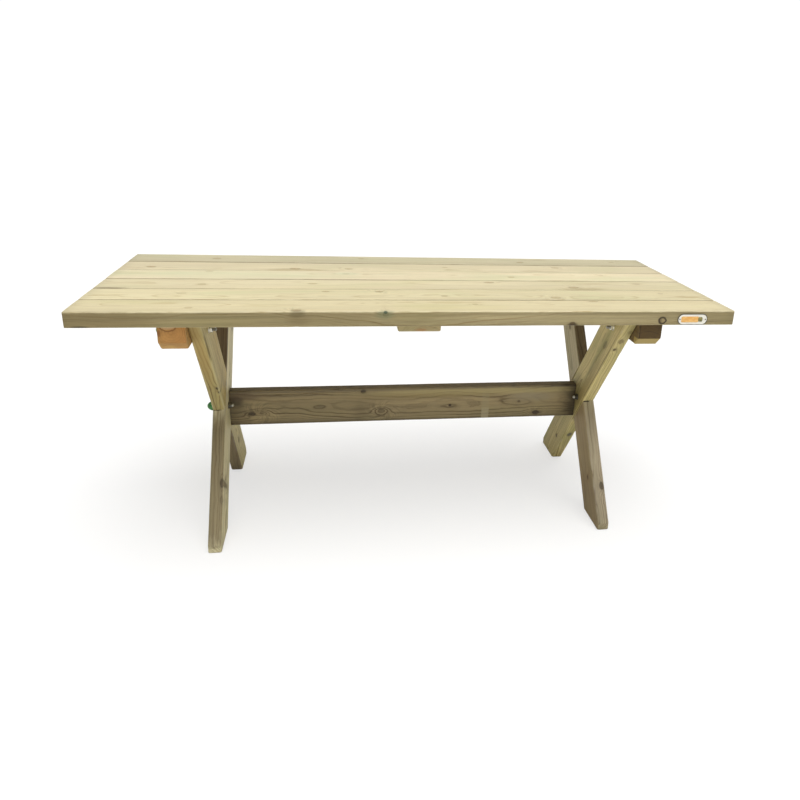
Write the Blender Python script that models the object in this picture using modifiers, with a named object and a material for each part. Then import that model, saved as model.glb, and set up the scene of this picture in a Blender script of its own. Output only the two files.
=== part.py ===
"""Picnic table on crossed legs: six-board top, two bearers, a middle batten,
two half-lapped leg frames, one stretcher, and the bolts and screws that hold
them together.

Units are metres, +Z is up, +X runs along the table's length.
The origin is on the floor, under the middle of the top.
"""

import math

import bmesh
import bpy
from mathutils import Matrix, Vector

# ---------------------------------------------------------------- dimensions
TOP_LENGTH = 1.800          # along X
TOP_HEIGHT = 0.745          # floor to the top's upper face
BOARD_COUNT = 6
BOARD_WIDTH = 0.118
BOARD_THICK = 0.042
BOARD_GAP = 0.0034
BOARD_EASE = 0.003          # rounding of the boards' long edges

FIT = 0.0003                # gap left between pieces that touch

LEG_THICK = 0.038           # along X
LEG_WIDTH = 0.120
LEG_ANGLE = math.radians(53.0)   # from the floor
LEG_EASE = 0.006
FRAME_INNER_X = 0.580       # inner faces of the leg frames
CROSSING_Z = 0.351
TOE_CUT_Y = 0.322           # upright cut that blunts each toe

BEARER_WIDTH = 0.070        # along X
BEARER_HEIGHT = 0.068
BEARER_HALF_LENGTH = 0.350
BEARER_CHAMFER = 0.025      # end chamfer, on the lower edge
BEARER_EASE = 0.005

BATTEN_WIDTH = 0.118        # along X
BATTEN_THICK = 0.022
BATTEN_HALF_LENGTH = 0.337
BATTEN_X = -0.016
BATTEN_EASE = 0.002

STRETCHER_THICK = 0.038     # along Y
STRETCHER_HEIGHT = 0.118
STRETCHER_FRONT_Y = 0.0045
STRETCHER_Z = 0.319
STRETCHER_EASE = 0.004

BOLT_R = 0.005              # M10
BOLT_HOLE_R = 0.0056
HEX_FLATS = 0.0165          # across flats, bolt head and nut
HEAD_HEIGHT = 0.0064
NUT_HEIGHT = 0.0100
FLANGE_R = 0.0108
FLANGE_HEIGHT = 0.0022
CROSS_BOLT_Y = -0.014
CROSS_BOLT_Z = 0.339
CROSS_BOLT_PROUD = 0.0165   # thread end beyond the leg's inner face
LEG_BOLT_Y = 0.250
LEG_BOLT_Z = 0.664
LEG_BOLT_PROUD = 0.0215

CAP_R = 0.0160
CAP_HEIGHT = 0.0255
CAP_CAVITY_R = 0.0112
CAP_CAVITY_DEPTH = 0.0095

SCREW_R = 0.0025
SCREW_HOLE_R = 0.0032
SCREW_HEAD_R = 0.0058
SCREW_HEAD_HEIGHT = 0.0030
BEARER_SCREW_LENGTH = 0.098
BATTEN_SCREW_LENGTH = 0.052
STRETCHER_SCREW_LENGTH = 0.095
SCREW_STAGGER = 0.015       # side step of the bearer screws

PLATE_LENGTH = 0.092
PLATE_HEIGHT = 0.033
PLATE_THICK = 0.0015
PLATE_X = 0.770
PLATE_Z = 0.7205
PIN_R = 0.0010
PIN_HEAD_R = 0.0019
PIN_INSET = 0.0065

# ---------------------------------------------------------------- derived
TOP_WIDTH = BOARD_COUNT * BOARD_WIDTH + (BOARD_COUNT - 1) * BOARD_GAP
TOP_UNDER_Z = TOP_HEIGHT - BOARD_THICK
FRAME_X = FRAME_INNER_X + LEG_THICK / 2
FRAME_OUTER_X = FRAME_INNER_X + LEG_THICK
BEARER_INNER_X = FRAME_OUTER_X + FIT
BEARER_X = BEARER_INNER_X + BEARER_WIDTH / 2
BEARER_OUTER_X = BEARER_INNER_X + BEARER_WIDTH
BEARER_BOTTOM_Z = TOP_UNDER_Z - FIT - BEARER_HEIGHT
BATTEN_BOTTOM_Z = TOP_UNDER_Z - FIT - BATTEN_THICK
BOARD_PITCH = BOARD_WIDTH + BOARD_GAP
BOARD_Y = [(i - (BOARD_COUNT - 1) / 2) * BOARD_PITCH for i in range(BOARD_COUNT)]
STRETCHER_Y = STRETCHER_FRONT_Y + STRETCHER_THICK / 2
STRETCHER_SCREW_Z = (STRETCHER_Z - 0.017, STRETCHER_Z + 0.031)

# ---------------------------------------------------------------- scene setup
for old in list(bpy.data.objects):
    bpy.data.objects.remove(old, do_unlink=True)

parts = bpy.data.collections.new("picnic_table")
cutters = bpy.data.collections.new("cutters")
bpy.context.scene.collection.children.link(parts)
bpy.context.scene.collection.children.link(cutters)


def material(name, colour, roughness, metallic=0.0):
    mat = bpy.data.materials.new(name)
    mat.use_nodes = True
    shader = mat.node_tree.nodes["Principled BSDF"]
    shader.inputs["Base Color"].default_value = (*colour, 1.0)
    shader.inputs["Roughness"].default_value = roughness
    shader.inputs["Metallic"].default_value = metallic
    return mat


# ---------------------------------------------------------------- mesh helpers
def place(name, mesh, location=(0, 0, 0), rotation=(0, 0, 0), collection=parts):
    obj = bpy.data.objects.new(name, mesh)
    obj.location = location
    obj.rotation_euler = rotation
    collection.objects.link(obj)
    return obj


def box_mesh(name, sx, sy, sz):
    bm = bmesh.new()
    bmesh.ops.create_cube(bm, size=1.0, matrix=Matrix.Diagonal((sx, sy, sz, 1.0)))
    mesh = bpy.data.meshes.new(name)
    bm.to_mesh(mesh)
    bm.free()
    return mesh


def add_cylinder(bm, radius, start, end, segments):
    """A closed cylinder between two points."""
    start, end = Vector(start), Vector(end)
    axis = end - start
    turn = Vector((0, 0, 1)).rotation_difference(axis).to_matrix().to_4x4()
    bmesh.ops.create_cone(
        bm, cap_ends=True, segments=segments, radius1=radius, radius2=radius,
        depth=axis.length, matrix=Matrix.Translation((start + end) / 2) @ turn)


def add_box(bm, low, high):
    low, high = Vector(low), Vector(high)
    size = high - low
    bmesh.ops.create_cube(
        bm, size=1.0,
        matrix=Matrix.Translation((low + high) / 2) @ Matrix.Diagonal((*size, 1.0)))


def cutter(name, build):
    """A cutter object in world coordinates; build(bm) adds its closed solids."""
    bm = bmesh.new()
    build(bm)
    mesh = bpy.data.meshes.new(name)
    bm.to_mesh(mesh)
    bm.free()
    obj = place(name, mesh, collection=cutters)
    obj.hide_render = True
    obj.display_type = "WIRE"
    return obj


def ease(obj, width, segments=2):
    mod = obj.modifiers.new("eased_edges", "BEVEL")
    mod.width = width
    mod.segments = segments
    mod.limit_method = "ANGLE"
    mod.angle_limit = math.radians(40)


def cut(obj, tool):
    mod = obj.modifiers.new("cut_" + tool.name, "BOOLEAN")
    mod.operation = "DIFFERENCE"
    mod.solver = "EXACT"
    mod.object = tool


def smooth(mesh, angle=35):
    mesh.shade_smooth()
    mesh.set_sharp_from_angle(angle=math.radians(angle))


def turned_mesh(name, profile, segments):
    """A closed solid turned about Z from a profile (radius, height).

    The profile runs from the axis at the top, down the outside, to the axis
    at the bottom.
    """
    bm = bmesh.new()
    points = [bm.verts.new((r, 0.0, z)) for r, z in profile]
    for a, b in zip(points, points[1:]):
        bm.edges.new((a, b))
    profile_mesh = bpy.data.meshes.new(name + "_profile")
    bm.to_mesh(profile_mesh)
    bm.free()
    guide = place(name + "_guide", profile_mesh, collection=cutters)
    screw = guide.modifiers.new("turn", "SCREW")
    screw.axis = "Z"
    screw.angle = 2 * math.pi
    screw.steps = segments
    screw.render_steps = segments
    screw.use_merge_vertices = True
    screw.merge_threshold = 0.00002
    screw.use_normal_calculate = False
    depsgraph = bpy.context.evaluated_depsgraph_get()
    mesh = bpy.data.meshes.new_from_object(guide.evaluated_get(depsgraph))
    mesh.name = name
    bpy.data.objects.remove(guide, do_unlink=True)
    bm = bmesh.new()
    bm.from_mesh(mesh)
    bmesh.ops.remove_doubles(bm, verts=bm.verts, dist=0.00001)
    bmesh.ops.recalc_face_normals(bm, faces=bm.faces)
    bm.to_mesh(mesh)
    bm.free()
    return mesh


def finish(obj, mat):
    obj.data.materials.clear()
    obj.data.materials.append(mat)
    return obj


# ---------------------------------------------------------------- materials
deck_wood = material("deck_wood", (0.62, 0.56, 0.36), 0.62)
bearer_wood = material("bearer_wood", (0.36, 0.24, 0.12), 0.70)
leg_wood = material("leg_wood", (0.34, 0.30, 0.17), 0.70)
rail_wood = material("rail_wood", (0.17, 0.13, 0.08), 0.72)
zinc = material("zinc_steel", (0.66, 0.67, 0.66), 0.35, 1.0)
green_plastic = material("green_plastic", (0.03, 0.17, 0.05), 0.38)
plate_white = material("plate_white", (0.86, 0.83, 0.76), 0.35)

# ---------------------------------------------------------------- the boards
BEARER_SCREW_X = [
    BEARER_X + (SCREW_STAGGER if i % 2 else -SCREW_STAGGER)
    for i in range(BOARD_COUNT)]


def board_pilots(i):
    def build(bm):
        y = BOARD_Y[i]
        tip = BEARER_BOTTOM_Z - FIT + BEARER_SCREW_LENGTH + 0.002
        for side in (-1, 1):
            x = side * BEARER_SCREW_X[i]
            add_cylinder(bm, SCREW_HOLE_R, (x, y, TOP_UNDER_Z - 0.01), (x, y, tip), 8)
        tip = BATTEN_BOTTOM_Z - FIT + BATTEN_SCREW_LENGTH + 0.002
        add_cylinder(bm, SCREW_HOLE_R, (BATTEN_X, y, TOP_UNDER_Z - 0.01), (BATTEN_X, y, tip), 8)
        if i == 0:
            for side in (-1, 1):
                x = PLATE_X + side * (PLATE_LENGTH / 2 - PIN_INSET)
                add_cylinder(bm, PIN_R + 0.0004, (x, -TOP_WIDTH / 2 - 0.01, PLATE_Z),
                             (x, -TOP_WIDTH / 2 + 0.010, PLATE_Z), 8)
    return build


for i in range(BOARD_COUNT):
    mesh = box_mesh("top_board", TOP_LENGTH, BOARD_WIDTH, BOARD_THICK)
    board = place(f"top_board_{i + 1}", mesh, (0, BOARD_Y[i], TOP_HEIGHT - BOARD_THICK / 2))
    ease(board, BOARD_EASE)
    cut(board, cutter(f"board_{i + 1}_pilots", board_pilots(i)))
    finish(board, deck_wood)

# ---------------------------------------------------------------- the bearers
for side, label in ((-1, "left"), (1, "right")):
    mesh = box_mesh("bearer", BEARER_WIDTH, 2 * BEARER_HALF_LENGTH, BEARER_HEIGHT)
    bearer = place(f"bearer_{label}", mesh,
                   (side * BEARER_X, 0, BEARER_BOTTOM_Z + BEARER_HEIGHT / 2))
    ease(bearer, BEARER_EASE)

    def end_chamfers(bm, side=side):
        reach = 0.10
        for end in (-1, 1):
            # a box turned 45 degrees, whose upper face is the chamfer
            middle = Vector((side * BEARER_X,
                             end * (BEARER_HALF_LENGTH - BEARER_CHAMFER / 2),
                             BEARER_BOTTOM_Z + BEARER_CHAMFER / 2))
            outward = Vector((0, end, -1)).normalized()
            centre = middle + outward * reach / 2
            turn = Matrix.Rotation(-end * math.radians(45), 4, "X")
            bmesh.ops.create_cube(
                bm, size=1.0,
                matrix=Matrix.Translation(centre) @ turn
                @ Matrix.Diagonal((0.12, reach, reach, 1.0)))

    cut(bearer, cutter(f"bearer_{label}_chamfers", end_chamfers))

    def bearer_holes(bm, side=side):
        for end in (-1, 1):
            add_cylinder(bm, BOLT_HOLE_R,
                         (side * (BEARER_INNER_X - 0.02), end * LEG_BOLT_Y, LEG_BOLT_Z),
                         (side * (BEARER_OUTER_X + 0.02), end * LEG_BOLT_Y, LEG_BOLT_Z), 16)
        for i in range(BOARD_COUNT):
            x = side * BEARER_SCREW_X[i]
            add_cylinder(bm, SCREW_HOLE_R, (x, BOARD_Y[i], BEARER_BOTTOM_Z - 0.01),
                         (x, BOARD_Y[i], TOP_UNDER_Z + 0.01), 8)

    cut(bearer, cutter(f"bearer_{label}_holes", bearer_holes))
    finish(bearer, bearer_wood)

# ---------------------------------------------------------------- the batten
mesh = box_mesh("centre_batten", BATTEN_WIDTH, 2 * BATTEN_HALF_LENGTH, BATTEN_THICK)
batten = place("centre_batten", mesh, (BATTEN_X, 0, BATTEN_BOTTOM_Z + BATTEN_THICK / 2))
ease(batten, BATTEN_EASE, 1)


def batten_holes(bm):
    for y in BOARD_Y:
        add_cylinder(bm, SCREW_HOLE_R, (BATTEN_X, y, BATTEN_BOTTOM_Z - 0.01),
                     (BATTEN_X, y, TOP_UNDER_Z + 0.01), 8)


cut(batten, cutter("batten_holes", batten_holes))
finish(batten, bearer_wood)


# ---------------------------------------------------------------- the leg frames
def leg_ends(bm):
    """Everything below the floor, above the leg tops and beyond the toes."""
    add_box(bm, (-1, -1, -0.5), (1, 1, 0.0))
    add_box(bm, (-1, -1, TOP_UNDER_Z - FIT), (1, 1, 1.5))


def leg_toes(bm):
    add_box(bm, (-1, -1, -0.1), (1, -TOE_CUT_Y, 0.2))
    add_box(bm, (-1, TOE_CUT_Y, -0.1), (1, 1, 0.2))


def frame_holes(side):
    def build(bm):
        inner = side * (FRAME_INNER_X - 0.03)
        outer = side * (FRAME_OUTER_X + 0.03)
        add_cylinder(bm, BOLT_HOLE_R, (inner, CROSS_BOLT_Y, CROSS_BOLT_Z),
                     (outer, CROSS_BOLT_Y, CROSS_BOLT_Z), 16)
        for end in (-1, 1):
            add_cylinder(bm, BOLT_HOLE_R, (inner, end * LEG_BOLT_Y, LEG_BOLT_Z),
                         (outer, end * LEG_BOLT_Y, LEG_BOLT_Z), 16)
        for z in STRETCHER_SCREW_Z:
            add_cylinder(bm, SCREW_HOLE_R + 0.0004, (inner, STRETCHER_Y, z),
                         (outer, STRETCHER_Y, z), 8)
    return build


ends_tool = cutter("leg_ends", leg_ends)
toes_tool = cutter("leg_toes", leg_toes)
LEG_BLANK = 1.15

for side, label in ((-1, "left"), (1, "right")):
    holes_tool = cutter(f"frame_{label}_holes", frame_holes(side))
    # lean +1 rises to the back, lean -1 rises to the front; keep is the half
    # of the thickness that the leg keeps where the two cross
    for lean, keep, where in ((-1, -1, "front_top"), (1, 1, "back_top")):
        mesh = box_mesh("leg", LEG_THICK, LEG_BLANK, LEG_WIDTH)
        leg = place(f"leg_{label}_{where}", mesh,
                    (side * FRAME_X, 0, CROSSING_Z), (lean * LEG_ANGLE, 0, 0))
        ease(leg, LEG_EASE, 3)
        cut(leg, ends_tool)
        cut(leg, toes_tool)

        def lap(bm, side=side, lean=lean, keep=keep):
            # the notch is as wide as the other leg, and half as deep
            across = Matrix.Rotation(-lean * LEG_ANGLE, 4, "X")
            depth = LEG_THICK / 2 + 0.02
            centre = Vector((side * FRAME_X - keep * (depth / 2 - FIT / 2), 0, CROSSING_Z))
            bmesh.ops.create_cube(
                bm, size=1.0,
                matrix=Matrix.Translation(centre) @ across
                @ Matrix.Diagonal((depth, 0.5, LEG_WIDTH + 2 * FIT, 1.0)))

        cut(leg, cutter(f"lap_{label}_{where}", lap))
        cut(leg, holes_tool)
        finish(leg, leg_wood)

# ---------------------------------------------------------------- the stretcher
mesh = box_mesh("stretcher", 2 * (FRAME_INNER_X - FIT), STRETCHER_THICK, STRETCHER_HEIGHT)
stretcher = place("stretcher", mesh, (0, STRETCHER_Y, STRETCHER_Z))
ease(stretcher, STRETCHER_EASE)


def stretcher_pilots(bm):
    reach = FRAME_OUTER_X + FIT - STRETCHER_SCREW_LENGTH - 0.002
    for side in (-1, 1):
        for z in STRETCHER_SCREW_Z:
            add_cylinder(bm, SCREW_HOLE_R, (side * (FRAME_INNER_X + 0.01), STRETCHER_Y, z),
                         (side * reach, STRETCHER_Y, z), 8)


cut(stretcher, cutter("stretcher_pilots", stretcher_pilots))
finish(stretcher, rail_wood)


# ---------------------------------------------------------------- bolts, nuts, caps
def bolt_mesh(name, length):
    """A hexagon bolt: the head's underside at z = 0, the shank down to -length."""
    bm = bmesh.new()
    bmesh.ops.create_cone(bm, cap_ends=True, segments=6,
                          radius1=HEX_FLATS / math.sqrt(3), radius2=HEX_FLATS / math.sqrt(3),
                          depth=HEAD_HEIGHT, matrix=Matrix.Translation((0, 0, HEAD_HEIGHT / 2)))
    mesh = bpy.data.meshes.new(name)
    bm.to_mesh(mesh)
    bm.free()
    return mesh


def shank_mesh(name, length):
    point = 0.0012
    profile = [(0.0, HEAD_HEIGHT / 2), (BOLT_R, HEAD_HEIGHT / 2),
               (BOLT_R, -length + point), (BOLT_R - point, -length), (0.0, -length)]
    return turned_mesh(name, profile, 16)


def make_bolt(name, side, x, y, z, length):
    """Head on the outer side, thread end towards the middle of the table."""
    turn = (0, side * math.pi / 2, 0)
    head = place(name, bolt_mesh(name, length), (x, y, z), turn)
    shank = place(name + "_shank", shank_mesh(name + "_shank", length), (x, y, z), turn,
                  collection=cutters)
    shank.hide_render = True
    shank.display_type = "WIRE"
    join = head.modifiers.new("shank", "BOOLEAN")
    join.operation = "UNION"
    join.solver = "EXACT"
    join.object = shank
    finish(head, zinc)


def nut_mesh(name):
    """A flanged nut: the flange's face at z = 0, the nut up to NUT_HEIGHT."""
    bm = bmesh.new()
    bmesh.ops.create_cone(bm, cap_ends=True, segments=6,
                          radius1=HEX_FLATS / math.sqrt(3), radius2=HEX_FLATS / math.sqrt(3),
                          depth=NUT_HEIGHT - 0.0004,
                          matrix=Matrix.Translation((0, 0, NUT_HEIGHT / 2 + 0.0002)))
    mesh = bpy.data.meshes.new(name)
    bm.to_mesh(mesh)
    bm.free()
    return mesh


def make_nut(name, side, x, y, z):
    turn = (0, -side * math.pi / 2, 0)
    nut = place(name, nut_mesh(name), (x, y, z), turn)
    profile = [(0.0, FLANGE_HEIGHT + 0.0008), (HEX_FLATS / 2, FLANGE_HEIGHT + 0.0008),
               (FLANGE_R, FLANGE_HEIGHT - 0.0008), (FLANGE_R, 0.0), (0.0, 0.0)]
    flange = place(name + "_flange", turned_mesh(name + "_flange", profile, 20),
                   (x, y, z), turn, collection=cutters)
    bore_bm = bmesh.new()
    add_cylinder(bore_bm, BOLT_R + 0.0005, (0, 0, -0.01), (0, 0, 0.03), 16)
    bore_mesh = bpy.data.meshes.new(name + "_bore")
    bore_bm.to_mesh(bore_mesh)
    bore_bm.free()
    bore = place(name + "_bore", bore_mesh, (x, y, z), turn, collection=cutters)
    for tool in (flange, bore):
        tool.hide_render = True
        tool.display_type = "WIRE"
    join = nut.modifiers.new("flange", "BOOLEAN")
    join.operation = "UNION"
    join.solver = "EXACT"
    join.object = flange
    cut(nut, bore)
    finish(nut, zinc)


def cap_profile():
    """A domed cap, open at its flat side, which is at z = 0."""
    rim = 0.0035
    rise = CAP_HEIGHT - rim
    steps = 6
    outside = [(CAP_R * math.sin(k / steps * math.pi / 2),
                rim + rise * math.cos(k / steps * math.pi / 2)) for k in range(steps + 1)]
    inside = [(CAP_CAVITY_R, 0.0), (CAP_CAVITY_R, CAP_CAVITY_DEPTH - 0.002),
              (CAP_CAVITY_R - 0.002, CAP_CAVITY_DEPTH), (0.0, CAP_CAVITY_DEPTH)]
    return outside + [(CAP_R, 0.0)] + inside


cap_shape = turned_mesh("bolt_cap", cap_profile(), 20)
smooth(cap_shape, 40)


def make_cap(name, side, x, y, z):
    cap = place(name, cap_shape.copy(), (x, y, z), (0, side * math.pi / 2, 0))
    finish(cap, green_plastic)


for side, label in ((-1, "left"), (1, "right")):
    outer = side * (FRAME_OUTER_X + FIT)
    inner = side * (FRAME_INNER_X - FIT)
    length = LEG_THICK + FIT + CROSS_BOLT_PROUD
    make_bolt(f"crossing_bolt_{label}", side, outer, CROSS_BOLT_Y, CROSS_BOLT_Z, length)
    make_nut(f"crossing_nut_{label}", side, inner, CROSS_BOLT_Y, CROSS_BOLT_Z)
    make_cap(f"crossing_cap_{label}", side, outer, CROSS_BOLT_Y, CROSS_BOLT_Z)
    for end, where in ((-1, "front"), (1, "back")):
        outer_bolt = side * (BEARER_OUTER_X + FIT)
        length = BEARER_WIDTH + LEG_THICK + 2 * FIT + LEG_BOLT_PROUD
        y = end * LEG_BOLT_Y
        make_bolt(f"leg_bolt_{label}_{where}", side, outer_bolt, y, LEG_BOLT_Z, length)
        make_nut(f"leg_nut_{label}_{where}", side, inner, y, LEG_BOLT_Z)
        make_cap(f"leg_bolt_cap_{label}_{where}", side, outer_bolt, y, LEG_BOLT_Z)


# ---------------------------------------------------------------- screws
def screw_mesh(name, length):
    """A pan-head wood screw: the head's underside at z = 0, the tip at z = length."""
    head = SCREW_HEAD_HEIGHT
    tip = 0.009
    profile = [(0.0, length), (SCREW_R, length - tip), (SCREW_R, 0.0), (SCREW_HEAD_R, 0.0),
               (SCREW_HEAD_R * 0.92, -head * 0.55), (SCREW_HEAD_R * 0.60, -head), (0.0, -head)]
    mesh = turned_mesh(name, profile, 8)
    smooth(mesh, 50)
    return mesh


bearer_screw = screw_mesh("bearer_screw", BEARER_SCREW_LENGTH)
batten_screw = screw_mesh("batten_screw", BATTEN_SCREW_LENGTH)
stretcher_screw = screw_mesh("stretcher_screw", STRETCHER_SCREW_LENGTH)

for side, label in ((-1, "left"), (1, "right")):
    for i in range(BOARD_COUNT):
        finish(place(f"bearer_screw_{label}_{i + 1}", bearer_screw.copy(),
                     (side * BEARER_SCREW_X[i], BOARD_Y[i], BEARER_BOTTOM_Z - FIT)), zinc)
    for z, where in zip(STRETCHER_SCREW_Z, ("lower", "upper")):
        finish(place(f"stretcher_screw_{label}_{where}", stretcher_screw.copy(),
                     (side * (FRAME_OUTER_X + FIT), STRETCHER_Y, z),
                     (0, -side * math.pi / 2, 0)), zinc)
for i in range(BOARD_COUNT):
    finish(place(f"batten_screw_{i + 1}", batten_screw.copy(),
                 (BATTEN_X, BOARD_Y[i], BATTEN_BOTTOM_Z - FIT)), zinc)

# ---------------------------------------------------------------- the plate
def stadium(length, height, steps):
    """Corner points of a bar with round ends, counter-clockwise."""
    r = height / 2
    straight = length / 2 - r
    points = []
    for centre, start in ((straight, -90), (-straight, 90)):
        for k in range(steps + 1):
            a = math.radians(start + 180 * k / steps)
            points.append((centre + r * math.cos(a), r * math.sin(a)))
    return points


outline = bpy.data.curves.new("name_plate_outline", "CURVE")
outline.dimensions = "2D"
outline.fill_mode = "BOTH"
outline.extrude = PLATE_THICK / 2
spline = outline.splines.new("POLY")
corner_points = stadium(PLATE_LENGTH, PLATE_HEIGHT, 10)
spline.points.add(len(corner_points) - 1)
for point, (u, v) in zip(spline.points, corner_points):
    point.co = (u, v, 0, 1)
spline.use_cyclic_u = True
guide = bpy.data.objects.new("name_plate_outline", outline)
guide.location = (PLATE_X, -TOP_WIDTH / 2 - FIT - PLATE_THICK / 2, PLATE_Z)
guide.rotation_euler = (math.pi / 2, 0, 0)
cutters.objects.link(guide)
depsgraph = bpy.context.evaluated_depsgraph_get()
plate_mesh = bpy.data.meshes.new_from_object(guide.evaluated_get(depsgraph))
plate_mesh.name = "name_plate"
bm = bmesh.new()
bm.from_mesh(plate_mesh)
bmesh.ops.remove_doubles(bm, verts=bm.verts, dist=0.00001)
bmesh.ops.recalc_face_normals(bm, faces=bm.faces)
bm.to_mesh(plate_mesh)
bm.free()
plate = place("name_plate", plate_mesh, guide.location, guide.rotation_euler)
bpy.data.objects.remove(guide, do_unlink=True)
plate_face_y = -TOP_WIDTH / 2 - FIT - PLATE_THICK


def plate_holes(bm):
    for side in (-1, 1):
        x = PLATE_X + side * (PLATE_LENGTH / 2 - PIN_INSET)
        add_cylinder(bm, PIN_R + 0.0004, (x, plate_face_y - 0.01, PLATE_Z),
                     (x, plate_face_y + 0.01, PLATE_Z), 8)


cut(plate, cutter("plate_holes", plate_holes))
finish(plate, plate_white)

pin_profile = [(0.0, 0.0008), (PIN_HEAD_R * 0.6, 0.0007), (PIN_HEAD_R, FIT), (PIN_R, FIT),
               (PIN_R, -0.0085), (0.0, -0.0095)]
pin_shape = turned_mesh("plate_pin", pin_profile, 10)
smooth(pin_shape, 50)
for side, label in ((-1, "left"), (1, "right")):
    x = PLATE_X + side * (PLATE_LENGTH / 2 - PIN_INSET)
    finish(place(f"plate_pin_{label}", pin_shape.copy(), (x, plate_face_y, PLATE_Z),
                 (math.pi / 2, 0, 0)), zinc)
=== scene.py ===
import math

import bmesh
import bpy
import numpy as np
from mathutils import Matrix, Vector


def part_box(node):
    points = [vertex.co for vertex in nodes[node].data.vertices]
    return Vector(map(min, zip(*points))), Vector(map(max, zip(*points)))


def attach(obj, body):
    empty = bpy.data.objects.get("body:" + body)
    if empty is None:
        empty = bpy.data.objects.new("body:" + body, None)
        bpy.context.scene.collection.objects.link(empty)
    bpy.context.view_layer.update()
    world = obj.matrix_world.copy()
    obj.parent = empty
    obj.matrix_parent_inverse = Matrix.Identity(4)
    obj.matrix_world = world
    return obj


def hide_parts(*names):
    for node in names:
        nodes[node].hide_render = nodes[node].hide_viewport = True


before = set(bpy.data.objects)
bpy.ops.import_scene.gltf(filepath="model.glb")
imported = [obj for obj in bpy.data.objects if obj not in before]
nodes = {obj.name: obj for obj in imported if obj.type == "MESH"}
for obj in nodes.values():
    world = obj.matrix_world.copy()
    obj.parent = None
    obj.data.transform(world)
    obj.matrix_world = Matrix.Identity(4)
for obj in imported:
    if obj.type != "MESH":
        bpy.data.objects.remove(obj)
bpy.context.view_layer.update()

X, Y, Z = np.eye(3)


# ============================================================ small helpers
def linear(r, g, b):
    """An sRGB colour, 0 to 255, as linear RGBA."""
    out = []
    for v in (r, g, b):
        v /= 255.0
        out.append(v / 12.92 if v <= 0.04045 else ((v + 0.055) / 1.055) ** 2.4)
    return (*out, 1.0)


def value_noise(x, y, z, seed=0):
    """Smooth noise from -1 to 1 at many points at once, the same on every run."""
    cell = [np.floor(v).astype(np.int64) for v in (x, y, z)]
    part = [v - c for v, c in zip((x, y, z), cell)]
    part = [p * p * (3 - 2 * p) for p in part]

    def corner(i, j, k):
        n = ((cell[0] + i) * 73856093) ^ ((cell[1] + j) * 19349663) ^ ((cell[2] + k) * 83492791)
        n = (n ^ (seed * 2654435761)) & 0xFFFFFFFF
        n = ((n ^ (n >> 13)) * 1274126177) & 0xFFFFFFFF
        n = ((n ^ (n >> 16)) * 2246822519) & 0xFFFFFFFF
        return ((n >> 8) & 0xFFFF) / 32767.5 - 1.0

    total = 0.0
    for i in (0, 1):
        for j in (0, 1):
            for k in (0, 1):
                w = ((part[0] if i else 1 - part[0]) * (part[1] if j else 1 - part[1])
                     * (part[2] if k else 1 - part[2]))
                total = total + w * corner(i, j, k)
    return total


def smoothstep(v, low, high):
    t = np.clip((v - low) / (high - low), 0.0, 1.0)
    return t * t * (3 - 2 * t)


def make_object(name, points, faces, materials, face_materials=None, sharp=40.0):
    mesh = bpy.data.meshes.new(name)
    mesh.from_pydata([tuple(p) for p in points], [], [tuple(f) for f in faces])
    for m in materials:
        mesh.materials.append(m)
    if face_materials is not None:
        mesh.polygons.foreach_set("material_index", np.asarray(face_materials, np.int32))
    mesh.update()
    mesh.shade_smooth()
    mesh.set_sharp_from_angle(angle=math.radians(sharp))
    obj = bpy.data.objects.new(name, mesh)
    bpy.context.scene.collection.objects.link(obj)
    return obj


def put(obj, slot, *replaced):
    solid = bmesh.new()
    solid.from_mesh(obj.data)
    inside_out = solid.calc_volume(signed=True) < 0
    solid.free()
    if inside_out:
        obj.data.flip_normals()
    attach(obj, "root")
    if replaced:
        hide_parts(*replaced)
    return obj


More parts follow.
